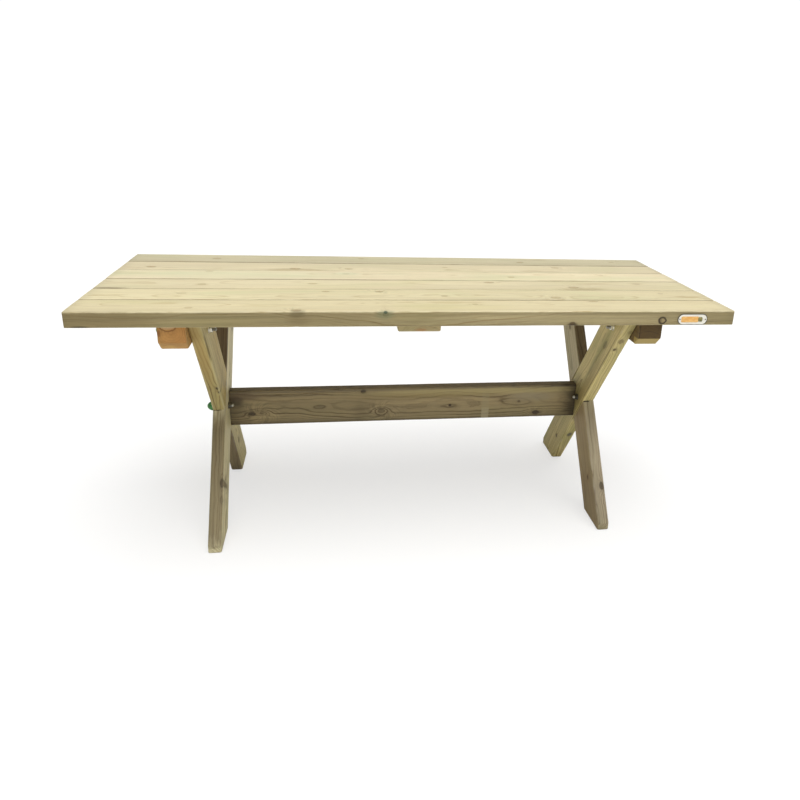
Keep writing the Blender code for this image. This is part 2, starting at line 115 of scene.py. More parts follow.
# ============================================================ node helpers
class Net:
    """Short calls for building a node tree."""

    def __init__(self, tree):
        self.tree = tree

    def set(self, socket, value):
        if isinstance(value, bpy.types.NodeSocket):
            self.tree.links.new(value, socket)
        elif value is not None:
            socket.default_value = value

    def node(self, kind, **settings):
        n = self.tree.nodes.new(kind)
        for key, v in settings.items():
            setattr(n, key, v)
        return n

    def math(self, op, a, b=None, c=None, clamp=False):
        n = self.node("ShaderNodeMath", operation=op, use_clamp=clamp)
        for i, v in enumerate((a, b, c)):
            self.set(n.inputs[i], v)
        return n.outputs[0]

    def add(self, a, b):
        return self.math("ADD", a, b)

    def sub(self, a, b):
        return self.math("SUBTRACT", a, b)

    def mul(self, a, b):
        return self.math("MULTIPLY", a, b)

    def madd(self, a, b, c):
        return self.math("MULTIPLY_ADD", a, b, c)

    def vec(self, op, a, b=None, out=0):
        n = self.node("ShaderNodeVectorMath", operation=op)
        self.set(n.inputs[0], a)
        if b is not None:
            self.set(n.inputs[1], b)
        return n.outputs[out]

    def scale(self, a, s):
        n = self.node("ShaderNodeVectorMath", operation="SCALE")
        self.set(n.inputs[0], a)
        self.set(n.inputs["Scale"], s)
        return n.outputs[0]

    def length(self, a):
        return self.vec("LENGTH", a, out=1)

    def dot(self, a, b):
        return self.vec("DOT_PRODUCT", a, b, out=1)

    def combine(self, x, y, z):
        n = self.node("ShaderNodeCombineXYZ")
        for i, v in enumerate((x, y, z)):
            self.set(n.inputs[i], v)
        return n.outputs[0]

    def split(self, v):
        n = self.node("ShaderNodeSeparateXYZ")
        self.set(n.inputs[0], v)
        return n.outputs[0], n.outputs[1], n.outputs[2]

    def noise(self, vector, scale=1.0, detail=2.0, rough=0.5, distortion=0.0, colour=False):
        n = self.node("ShaderNodeTexNoise")
        self.set(n.inputs["Vector"], vector)
        self.set(n.inputs["Scale"], scale)
        self.set(n.inputs["Detail"], detail)
        self.set(n.inputs["Roughness"], rough)
        self.set(n.inputs["Distortion"], distortion)
        return n.outputs["Color"] if colour else n.outputs[0]

    def noise1(self, w, scale=1.0, detail=1.0):
        n = self.node("ShaderNodeTexNoise", noise_dimensions="1D")
        self.set(n.inputs["W"], w)
        self.set(n.inputs["Scale"], scale)
        self.set(n.inputs["Detail"], detail)
        return n.outputs[0]

    def white1(self, w):
        n = self.node("ShaderNodeTexWhiteNoise", noise_dimensions="1D")
        self.set(n.inputs["W"], w)
        return n.outputs["Value"]

    def step(self, v, low, high, to0=0.0, to1=1.0):
        """Eases from to0 to to1 as v goes from low to high."""
        n = self.node("ShaderNodeMapRange", interpolation_type="SMOOTHSTEP")
        self.set(n.inputs[0], v)
        for i, x in enumerate((low, high, to0, to1)):
            self.set(n.inputs[i + 1], x)
        return n.outputs[0]

    def ramp(self, fac, stops, ease="LINEAR"):
        n = self.node("ShaderNodeValToRGB")
        n.color_ramp.interpolation = ease
        els = n.color_ramp.elements
        while len(els) < len(stops):
            els.new(0.5)
        for e, (p, c) in zip(els, stops):
            e.position = p
            e.color = c if hasattr(c, "__len__") else (c, c, c, 1.0)
        self.set(n.inputs[0], fac)
        return n.outputs[0]

    def mix(self, fac, a, b, blend="MIX"):
        n = self.node("ShaderNodeMix", data_type="RGBA", blend_type=blend)
        self.set(n.inputs["Factor"], fac)
        self.set(n.inputs[6], a)
        self.set(n.inputs[7], b)
        return n.outputs[2]

    def shade(self, colour, factor):
        """colour times a number."""
        n = self.node("ShaderNodeVectorMath", operation="SCALE")
        self.set(n.inputs[0], colour)
        self.set(n.inputs["Scale"], factor)
        return n.outputs[0]


def new_material(name, mean):
    m = bpy.data.materials.new(name)
    m.use_nodes = True
    m.diffuse_color = mean
    bsdf = m.node_tree.nodes["Principled BSDF"]
    bsdf.inputs["Base Color"].default_value = mean
    return m, Net(m.node_tree), bsdf


# ============================================================ the wood group
def wood_group():
    """Sawn pine, worked out in the board's own frame: P is (along, across, through) in metres.

    The rings run round a wandering pith, and a knot pushes them aside. Each year has a wide pale band and a narrow dark one.
    """
    tree = bpy.data.node_groups.new("sawn_pine", "ShaderNodeTree")
    face = tree.interface
    for kind, name, start in (
            ("Vector", "P", None), ("Float", "Seed", 0.0), ("Float", "PithB", 0.0), ("Float", "PithC", -0.06),
            ("Float", "Spacing", 0.005), ("Float", "Wander", 1.0), ("Float", "Bump", 0.0), ("Float", "KnotD", 9.0),
            ("Color", "Early", (0.6, 0.5, 0.3, 1)), ("Color", "Late", (0.4, 0.3, 0.15, 1)),
            ("Color", "Knot", (0.2, 0.12, 0.05, 1)), ("Color", "Tint", (0.5, 0.55, 0.3, 1)), ("Float", "TintAmount", 0.2),
            ("Float", "Contrast", 0.5), ("Float", "Streak", 0.3), ("Float", "Fibre", 0.2), ("Float", "Halo", 0.3),
            ("Float", "EdgeB", 0.055), ("Float", "EdgeC", 0.018), ("Float", "EdgeW", 0.004), ("Float", "Wear", 0.12),
            ("Float", "EndGrain", 0.0), ("Float", "EndA", 0.9), ("Color", "EndColor", (0.8, 0.7, 0.6, 1)),
            ("Float", "KnotDark", 1.0)):
        s = face.new_socket(name=name, in_out="INPUT", socket_type="NodeSocket" + kind)
        if start is not None:
            s.default_value = start
    for kind, name in (("Color", "Color"), ("Float", "Roughness"), ("Float", "Height")):
        face.new_socket(name=name, in_out="OUTPUT", socket_type="NodeSocket" + kind)
    k = Net(tree)
    gi = k.node("NodeGroupInput").outputs
    P, seed = gi["P"], gi["Seed"]
    shift = k.combine(k.mul(seed, 13.17), k.mul(seed, 7.31), k.mul(seed, 3.77))
    a, b, c = k.split(P)

    # the pith wanders along the board
    slow = k.noise(k.vec("ADD", k.vec("MULTIPLY", P, (1.7, 0.0, 0.0)), shift), detail=1.0, colour=True)
    sb, sc, _ = k.split(slow)
    quick = k.noise(k.vec("ADD", k.vec("MULTIPLY", P, (7.0, 4.0, 4.0)), shift), detail=2.0, colour=True)
    qb, qc, _ = k.split(quick)
    wander = gi["Wander"]
    db = k.sub(b, k.add(gi["PithB"], k.mul(wander, k.madd(k.sub(sb, 0.5), 0.085, k.mul(k.sub(qb, 0.5), 0.012)))))
    dc = k.sub(c, k.add(gi["PithC"], k.mul(wander, k.madd(k.sub(sc, 0.5), 0.050, k.mul(k.sub(qc, 0.5), 0.010)))))
    radius = k.math("SQRT", k.add(k.mul(db, db), k.mul(dc, dc)))
    ripple = k.sub(k.noise(k.vec("ADD", k.vec("MULTIPLY", P, (14.0, 60.0, 60.0)), shift), detail=3.0, rough=0.55), 0.5)
    radius = k.add(k.madd(ripple, 0.0035, radius), gi["Bump"])

    # years of uneven width and depth of colour
    v = k.math("DIVIDE", radius, gi["Spacing"])
    v = k.add(v, k.mul(k.sub(k.noise1(k.madd(v, 0.45, seed), detail=1.0), 0.5), 1.7))
    year = k.math("FLOOR", v)
    part = k.math("FRACT", v)
    late = k.ramp(part, [(0.0, 0.62), (0.07, 0.10), (0.40, 0.03), (0.68, 0.22), (0.88, 0.92), (0.96, 1.0), (1.0, 0.70)], "EASE")
    strength = k.step(k.white1(k.add(year, k.mul(seed, 3.1))), 0.0, 1.0, 0.35, 1.15)
    patchy = k.noise(k.vec("ADD", k.vec("MULTIPLY", P, (3.0, 22.0, 22.0)), shift), detail=3.0)
    late = k.mul(k.mul(late, strength), k.step(patchy, 0.30, 0.62, 0.45, 1.0))

    # fibres, broad streaks and large patches
    fibre = k.noise(k.vec("ADD", k.vec("MULTIPLY", P, (11.0, 520.0, 520.0)), shift), detail=3.0, rough=0.6)
    fine = k.noise(k.vec("ADD", k.vec("MULTIPLY", P, (60.0, 1500.0, 1500.0)), shift), detail=1.0)
    streak = k.noise(k.vec("ADD", k.vec("MULTIPLY", P, (1.9, 62.0, 62.0)), shift), detail=4.0, rough=0.55)
    patch = k.noise(k.vec("ADD", k.vec("MULTIPLY", P, (2.6, 10.0, 10.0)), shift), detail=3.0)
    patch2 = k.noise(k.vec("ADD", k.vec("MULTIPLY", P, (1.3, 6.0, 6.0)), k.scale(shift, 2.3)), detail=2.0)

    colour = k.mix(k.mul(late, gi["Contrast"]), gi["Early"], gi["Late"])
    colour = k.mix(k.mul(k.step(patch, 0.46, 0.70), gi["TintAmount"]), colour, gi["Tint"])
    tone = k.add(1.0, k.mul(k.sub(streak, 0.5), gi["Streak"]))
    tone = k.mul(tone, k.add(1.0, k.mul(k.sub(fibre, 0.5), gi["Fibre"])))
    tone = k.mul(tone, k.add(1.0, k.mul(k.sub(fine, 0.5), k.mul(gi["Fibre"], 0.6))))
    tone = k.mul(tone, k.add(1.0, k.mul(k.sub(patch2, 0.5), 0.22)))
    colour = k.shade(colour, tone)

    # short resin flecks
    fleck = k.noise(k.vec("ADD", k.vec("MULTIPLY", P, (42.0, 760.0, 760.0)), shift), detail=1.0)
    colour = k.shade(colour, k.step(fleck, 0.66, 0.76, 1.0, 0.80))

    # knots
    rough_rim = k.sub(k.noise(k.vec("ADD", k.scale(P, 95.0), shift), detail=2.0), 0.5)
    kd = k.madd(rough_rim, 0.34, gi["KnotD"])
    inside = k.step(kd, 0.86, 1.10, 1.0, 0.0)
    rings = k.madd(k.math("SINE", k.madd(kd, 17.0, k.mul(rough_rim, 7.0))), 0.5, 0.5)
    heart = k.step(kd, 0.0, 0.55, 0.62, 1.0)
    kcol = k.shade(gi["Knot"], k.mul(k.madd(rings, 0.36, 0.74), heart))
    rim = k.mul(k.step(kd, 0.74, 1.0), k.step(kd, 1.02, 1.32, 1.0, 0.0))
    halo = k.step(kd, 1.0, 3.4, 1.0, 0.0)
    dark = gi["KnotDark"]
    colour = k.mix(k.mul(k.mul(halo, halo), k.mul(gi["Halo"], dark)), colour, k.mix(0.55, gi["Late"], gi["Knot"]))
    colour = k.mix(k.mul(inside, k.math("MINIMUM", dark, 1.0)), colour, kcol)
    colour = k.shade(colour, k.sub(1.0, k.mul(k.mul(rim, 0.52), dark)))

    # end grain is darker and warmer, with open pores
    pores = k.noise(k.vec("ADD", k.vec("MULTIPLY", P, (300.0, 1300.0, 1300.0)), shift), detail=2.0)
    end = gi["EndGrain"]
    endcol = k.mix(1.0, colour, gi["EndColor"], "MULTIPLY")
    endcol = k.shade(endcol, k.madd(pores, 0.55, 0.72))
    colour = k.mix(end, colour, endcol)

    # arrises are rubbed paler, and the last few centimetres take up dirt
    eb = k.step(k.math("ABSOLUTE", b), gi["EdgeB"], k.add(gi["EdgeB"], gi["EdgeW"]))
    ec = k.step(k.math("ABSOLUTE", c), gi["EdgeC"], k.add(gi["EdgeC"], gi["EdgeW"]))
    rubbed = k.noise(k.vec("ADD", k.vec("MULTIPLY", P, (24.0, 60.0, 60.0)), shift), detail=3.0)
    edge = k.mul(k.mul(k.mul(eb, ec), k.step(rubbed, 0.34, 0.62)), gi["Wear"])
    pale = k.mix(0.55, gi["Early"], (0.86, 0.82, 0.70, 1.0))
    colour = k.mix(edge, colour, pale)
    near_end = k.step(k.add(k.math("ABSOLUTE", a), k.mul(k.sub(streak, 0.5), 0.05)), k.sub(gi["EndA"], 0.035), gi["EndA"])
    colour = k.shade(colour, k.sub(1.0, k.mul(near_end, 0.13)))

    rough = k.add(0.60, k.mul(k.sub(streak, 0.5), 0.16))
    rough = k.add(rough, k.mul(k.sub(fibre, 0.5), 0.20))
    rough = k.sub(rough, k.mul(late, 0.07))
    rough = k.add(rough, k.mul(end, 0.14))
    rough = k.sub(rough, k.mul(edge, 0.25))
    height = k.mul(late, 0.55)
    height = k.add(height, k.mul(fibre, 0.75))
    height = k.add(height, k.mul(fine, 0.25))
    height = k.add(height, k.mul(k.mul(inside, rings), 0.35))
    height = k.sub(height, k.mul(rim, 0.9))
    height = k.sub(height, k.mul(end, k.mul(pores, 0.8)))
    go = k.node("NodeGroupOutput").inputs
    k.set(go["Color"], colour)
    k.set(go["Roughness"], rough)
    k.set(go["Height"], height)
    return tree


PINE = wood_group()


def wood(name, axes, centre, half, ease, seed, early, late, knot, *, tint=(205, 212, 160), tint_amount=0.25, pith=(0.0, -0.05),
         spacing=0.0052, wander=1.0, contrast=0.6, streak=0.35, fibre=0.28, halo=0.35, wear=0.3, end_colour=(0.78, 0.66, 0.52),
         knots=(), marks=(), gain=(1.0, 1.0, 1.0), rays=(), rough=0.0):
    """A pine material for one piece. knots: (along, across, through, axis, radius, stretch, push, reach, darkness,
    sideways reach). rays: fans of torn grain round a knot, (along, across, inner, outer, strength). marks: soft-edged
    patches, (shape, centre, radii, softness, colour, amount); the colour is sRGB, or None to darken, or four linear
    factors to multiply by. Some marks carry painted shade and painted light on single faces of a piece."""
    mix = [0.72 * e + 0.28 * l for e, l in zip(linear(*early)[:3], linear(*late)[:3])]
    mean = (*[min(1.0, v * g) for v, g in zip(mix, gain)], 1.0)
    m, k, bsdf = new_material(name, mean)
    where = k.node("ShaderNodeTexCoord").outputs["Object"]
    rel = k.vec("SUBTRACT", where, tuple(centre))
    P = k.combine(k.dot(rel, tuple(axes[0])), k.dot(rel, tuple(axes[1])), k.dot(rel, tuple(axes[2])))
    bump, near, depth = None, None, None
    for (ka, kb, kc, axis, r, stretch, push, reach, dark, *spread) in knots:
        # a knot runs through the board, leaning a little
        to = k.vec("SUBTRACT", P, (ka, kb, kc))
        aside = spread[0] if spread else 1.75
        if axis == "c":
            flat, wide = (1 / (r * stretch), 1 / r, 0.06 / r), (1 / (r * reach), 1 / (r * aside), 0.0)
        else:
            flat, wide = (1 / (r * stretch), 0.06 / r, 1 / r), (1 / (r * reach), 0.0, 1 / (r * aside))
        d = k.length(k.vec("MULTIPLY", to, flat))
        near = d if near is None else k.math("SMOOTH_MIN", near, d, 0.15)
        around = k.mul(k.step(d, 1.2, 3.6, 1.0, 0.0), dark)
        depth = around if depth is None else k.math("MAXIMUM", depth, around)
        if push:
            w = k.length(k.vec("MULTIPLY", to, wide))
            g = k.math("EXPONENT", k.mul(k.mul(w, w), -1.0))
            g = k.mul(g, push * r)
            bump = g if bump is None else k.add(bump, g)
    g = k.node("ShaderNodeGroup")
    g.node_tree = PINE

    def shade(col):
        return (*[min(1.0, v * f) for v, f in zip(linear(*col)[:3], gain)], 1.0)

    for key, value in (("P", P), ("Seed", float(seed)), ("PithB", pith[0]), ("PithC", pith[1]), ("Spacing", spacing),
                       ("Wander", wander), ("Bump", bump), ("KnotD", near), ("Early", shade(early)), ("Late", shade(late)),
                       ("Knot", shade(knot)), ("Tint", shade(tint)), ("TintAmount", tint_amount), ("Contrast", contrast),
                       ("Streak", streak), ("Fibre", fibre), ("Halo", halo), ("EdgeB", half[1] - ease * 1.1),
                       ("EdgeC", half[2] - ease * 1.1), ("EdgeW", ease), ("Wear", wear), ("EndA", half[0]),
                       ("EndColor", (*end_colour, 1.0)), ("KnotDark", depth)):
        k.set(g.inputs[key], value)
    normal = k.node("ShaderNodeNewGeometry").outputs["True Normal"]
    facing = k.math("ABSOLUTE", k.dot(normal, tuple(axes[0])))
    k.set(g.inputs["EndGrain"], k.step(facing, 0.62, 0.80))
    colour, height = g.outputs["Color"], g.outputs["Height"]
    broad = k.step(k.math("ABSOLUTE", k.dot(normal, tuple(axes[2]))), 0.55, 0.85)
    for (ra, rb, inner, outer, amount) in rays:
        # grain that fans out of a knot
        x, y, _ = k.split(k.vec("SUBTRACT", P, (ra, rb, 0.0)))
        d = k.length(k.combine(k.mul(x, 0.72), y, 0.0))
        angle = k.math("ARCTAN2", y, x)
        twist = k.add(angle, k.mul(d, 28.0))
        line = k.noise(k.combine(k.mul(k.math("COSINE", twist), 5.5), k.mul(k.math("SINE", twist), 5.5), k.mul(d, 55.0)), detail=2.0)
        line = k.mul(k.sub(k.step(line, 0.36, 0.62), 0.5), 2.0)
        fan = k.mul(k.mul(k.step(d, inner, inner * 1.7), k.step(d, outer * 0.55, outer, 1.0, 0.0)), broad)
        colour = k.shade(colour, k.add(1.0, k.mul(k.mul(line, fan), amount)))
        height = k.add(height, k.mul(k.mul(line, fan), 0.6))
    if marks:
        grit = k.noise(k.vec("MULTIPLY", P, (26.0, 110.0, 110.0)), detail=4.0, rough=0.6)
        grit = k.sub(grit, 0.5)
    for (kind, at, radii, soft, col, amount) in marks:
        q = k.vec("MULTIPLY", k.vec("SUBTRACT", P, tuple(at)), tuple(1.0 / r for r in radii))
        if kind in ("box", "streaks"):
            x, y, z = k.split(k.vec("ABSOLUTE", q))
            d = k.math("MAXIMUM", x, k.math("MAXIMUM", y, z))
        else:
            d = k.length(q)
        d = k.madd(grit, soft * 1.8, d)
        if kind == "ring":
            d = k.math("ABSOLUTE", k.sub(d, 1.0))
            inside = k.step(d, 0.0, soft, 1.0, 0.0)
        else:
            inside = k.step(d, 1.0 - soft, 1.0 + soft, 1.0, 0.0)
        if kind == "streaks":
            band = k.noise(k.vec("MULTIPLY", P, (2.1, 60.0, 150.0)), detail=4.0, rough=0.62)
            colour = k.shade(colour, k.add(1.0, k.mul(k.mul(k.sub(band, 0.5), inside), amount)))
        elif col is None:
            colour = k.shade(colour, k.sub(1.0, k.mul(inside, amount)))
        elif len(col) == 4:
            colour = k.mix(k.mul(inside, amount), colour, col, "MULTIPLY")
        else:
            colour = k.mix(k.mul(inside, amount), colour, shade(col))
    k.set(bsdf.inputs["Base Color"], colour)
    k.set(bsdf.inputs["Roughness"], k.add(g.outputs["Roughness"], rough))
    relief = k.node("ShaderNodeBump")
    relief.inputs["Strength"].default_value = 0.55
    relief.inputs["Distance"].default_value = 0.00045
    k.set(relief.inputs["Height"], height)
    k.set(bsdf.inputs["Normal"], relief.outputs[0])
    bsdf.inputs["Specular IOR Level"].default_value = 0.42
    return m


# ============================================================ wooden pieces
def grid_lines(half, ease, step, fine=(), must=()):
    """Positions of the mesh lines along one side: the eased edges' arcs, an even run, and finer runs at knots, checks and cuts."""
    arcs = [ease * math.tan(math.radians(45.0 * i / 4)) for i in range(5)]
    core = half - ease
    out = [-core - x for x in arcs] + [core + x for x in arcs] + [x for x in must if abs(x) < core]

    def add(x, gap):
        if abs(x) < core - gap * 0.5 and all(abs(x - y) > gap for y in out):
            out.append(x)

    for centre, width, s in fine:
        n = max(2, round(2 * width / s))
        for i in range(n + 1):
            add(centre - width + 2 * width * i / n, s * 0.55)
    n = max(2, round(2 * core / step))
    for i in range(1, n):
        add(-core + 2 * core * i / n, step * 0.45)
    return np.array(sorted(set(round(x, 7) for x in out)))


def lattice_surface(A, B, C, solid=None):
    """The skin of the cells that are solid, as points on the lattice and quads."""
    na, nb, nc = len(A), len(B), len(C)
    cells = np.zeros((na + 1, nb + 1, nc + 1), bool)
    inner = np.ones((na - 1, nb - 1, nc - 1), bool)
    if solid is not None:
        ma, mb, mc = [(v[1:] + v[:-1]) / 2 for v in (A, B, C)]
        inner = solid(*np.meshgrid(ma, mb, mc, indexing="ij"))
    cells[1:-1, 1:-1, 1:-1] = inner
    ids = np.arange(na * nb * nc).reshape(na, nb, nc)
    quads = []
    for axis in range(3):
        diff = np.diff(cells.astype(np.int8), axis=axis)
        for sign in (1, -1):
            i, j, k = np.nonzero(diff == sign)
            # lattice plane `axis`, between two cells; the other two indices count padded cells
            idx = [i, j, k]
            u, w = [(1, 2), (2, 0), (0, 1)][axis]
            base = [v.copy() for v in idx]
            base[u] -= 1
            base[w] -= 1

            def at(du, dw):
                q = [v.copy() for v in base]
                q[u] += du
                q[w] += dw
                return ids[q[0], q[1], q[2]]

            quad = np.stack([at(0, 0), at(1, 0), at(1, 1), at(0, 1)], -1)
            quads.append(quad[:, ::-1] if sign == 1 else quad)
    quads = np.concatenate(quads)
    used, inverse = np.unique(quads, return_inverse=True)
    quads = inverse.reshape(quads.shape)
    pos = np.stack([v.ravel() for v in np.meshgrid(A, B, C, indexing="ij")], -1)[used]
    return pos, quads


def round_over(P, half, ease):
    """Rounds the block's edges: ease is a radius for each point and side."""
    core = np.clip(P, -(half - ease), half - ease)
    d = (P - core) / ease
    m, n = np.abs(d).max(1), np.linalg.norm(d, axis=1)
    scale = np.where(n > 0, m / np.maximum(n, 1e-12), 0.0)[:, None]
    normal = d / np.maximum(n, 1e-12)[:, None]
    return core + d * scale * ease, normal


def block(name, material, axes, centre, half, ease, step, seed, *, end_ease=None, knots=(), checks=(), must_a=(), must_c=(),
          solid=None, shape=None, bow=(0.0, 0.0), cup=0.0, wear=1.0, relief=1.0, lift=0.0):
    """A sawn and eased piece of timber. knots are those of its material; checks are drying cracks:
    (face, from, to, position, width, depth, wander). shape(P) bends the finished block, in its own frame."""
    half = np.array(half)
    fine_a = [(k[0], k[4] * 2.2, k[4] * 0.3) for k in knots if abs(k[0]) < half[0]]
    fine_b = [(k[1], k[4] * 1.6, k[4] * 0.3) for k in knots if k[3] == "c"]
    fine_c = [(k[2], k[4] * 1.4, k[4] * 0.3) for k in knots if k[3] == "b"]
    for face, a0, a1, pos, width, depth, waver in checks:
        fan = (pos, width * 1.5, width * 0.5)
        (fine_b if face[1] == "c" else fine_c).append(fan)
        fine_a += [(a0, 0.006, 0.003), (a1, 0.006, 0.003)]
    A = grid_lines(half[0], end_ease or ease, step[0], fine_a, must_a)
    B = grid_lines(half[1], ease, step[1], fine_b)
    C = grid_lines(half[2], ease, step[2], fine_c, must_c)
    raw, quads = lattice_surface(A, B, C, solid)
    skin = (np.abs(raw) >= half - 1e-7).any(1)
    run = value_noise(raw[:, 0] * 7 + seed, raw[:, 1] * 9, raw[:, 2] * 9, seed)
    radius = ease * (1 + 0.22 * wear * run)
    radii = np.stack([np.full(len(raw), end_ease or ease), radius, radius], -1)
    P, N = round_over(raw, half, radii)
    a, b, c = P.T
    s = np.array([seed * 1.37, seed * 2.11, seed * 0.73])

    # checks wander sideways with the grain
    for face, a0, a1, pos, width, depth, waver in checks:
        i = 1 if face[1] == "c" else 2
        off = waver * (value_noise(a * 9 + s[0], a * 0, a * 0, seed + 5) + 0.4 * value_noise(a * 40, a * 0, a * 0, seed + 6))
        near = np.exp(-((raw[:, i] - pos) / 0.012) ** 2)
        P[:, i] = P[:, i] + np.where(np.abs(raw[:, i]) < half[i] - ease, off * near, 0.0)

    push = 0.00016 * value_noise(a * 6 + s[0], b * 24 + s[1], c * 24, seed)
    push += 0.00010 * value_noise(a * 22 + s[0], b * 120 + s[1], c * 120, seed + 1)
    push *= relief
    # dents and rubbed places on the arrises
    arris = 2 * np.abs(N[:, 1] * N[:, 2])
    bite = np.clip(value_noise(a * 26 + s[0], b * 5, c * 5, seed + 2) - 0.25, 0, 1)
    push -= arris * (0.0009 * bite * wear + 0.00018 * (1 + value_noise(a * 70, b * 20, c * 20, seed + 3)) * wear)
    corner = np.abs(N[:, 0]) * np.maximum(np.abs(N[:, 1]), np.abs(N[:, 2]))
    push -= corner * 0.0007 * wear * (1 + value_noise(a * 60, b * 60, c * 60, seed + 4))
    # a knot stands a little proud, in a shallow ring
    for (ka, kb, kc, axis, r, stretch, kp, *_) in knots:
        i, j = (1, 2) if axis == "c" else (2, 1)
        other = kb if axis == "c" else kc
        d = np.hypot((a - ka) / (r * stretch), (P[:, i] - other) / r)
        on = np.abs(N[:, j]) > 0.6
        bump = 0.00035 * np.clip(1 - d, 0, 1) ** 0.5 - 0.00040 * np.exp(-((d - 1.08) / 0.22) ** 2)
        bump += 0.00016 * np.exp(-((d - 2.0) / 0.7) ** 2)
        split = 0.0011 * np.clip(1 - np.abs((P[:, i] - other) - 0.25 * (a - ka)) / (0.16 * r), 0, 1) * np.clip(0.75 - d, 0, 1)
        push += np.where(on, (bump - split) * relief, 0.0)
    for face, a0, a1, pos, width, depth, waver in checks:
        i, j = (1, 2) if face[1] == "c" else (2, 1)
        sign = 1.0 if face[0] == "+" else -1.0
        t = np.clip(np.minimum(a - a0, a1 - a) / max(1e-4, 0.35 * (a1 - a0)), 0, 1) if abs(a1) < half[0] and abs(a0) < half[0] \
            else np.clip((a1 - a) / (a1 - a0) if abs(a0) >= half[0] else (a - a0) / (a1 - a0), 0, 1)
        groove = np.clip(1 - np.abs(raw[:, i] - pos) / width, 0, 1) * np.sqrt(t)
        groove *= (a > a0) & (a < a1) if abs(a1) < half[0] and abs(a0) < half[0] else (a >= min(a0, a1)) & (a <= max(a0, a1))
        facing = np.clip(sign * N[:, j], 0, 1)
        if abs(a0) >= half[0] or abs(a1) >= half[0]:
            end_side = -1.0 if abs(a0) >= half[0] else 1.0
            depth_in = np.clip(1 - (half[j] - sign * P[:, j]) / (2.2 * half[j]), 0, 1)
            push -= groove * depth * 1.2 * np.clip(end_side * N[:, 0], 0, 1) * depth_in
        push -= groove * depth * facing
    P = P + N * np.where(skin, push, 0.0)[:, None]

    # a slight bow, crook and cup, as the timber dried
    t = P[:, 0] / half[0]
    P[:, 2] += np.where(True, bow[0] * (1 - t * t), 0) + cup * (P[:, 1] / half[1]) ** 2 + lift
    P[:, 1] += bow[1] * (1 - t * t) * np.cos(1.7 * t + seed)
    if shape is not None:
        P = shape(P, raw)
    world = np.array(centre) + P @ np.array(axes)
    return make_object(name, world, quads, [material], sharp=42.0)


def box_of(*names):
    low, high = zip(*[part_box(n) for n in names])
    low = np.min([tuple(v) for v in low], 0)
    high = np.max([tuple(v) for v in high], 0)
    return low, high


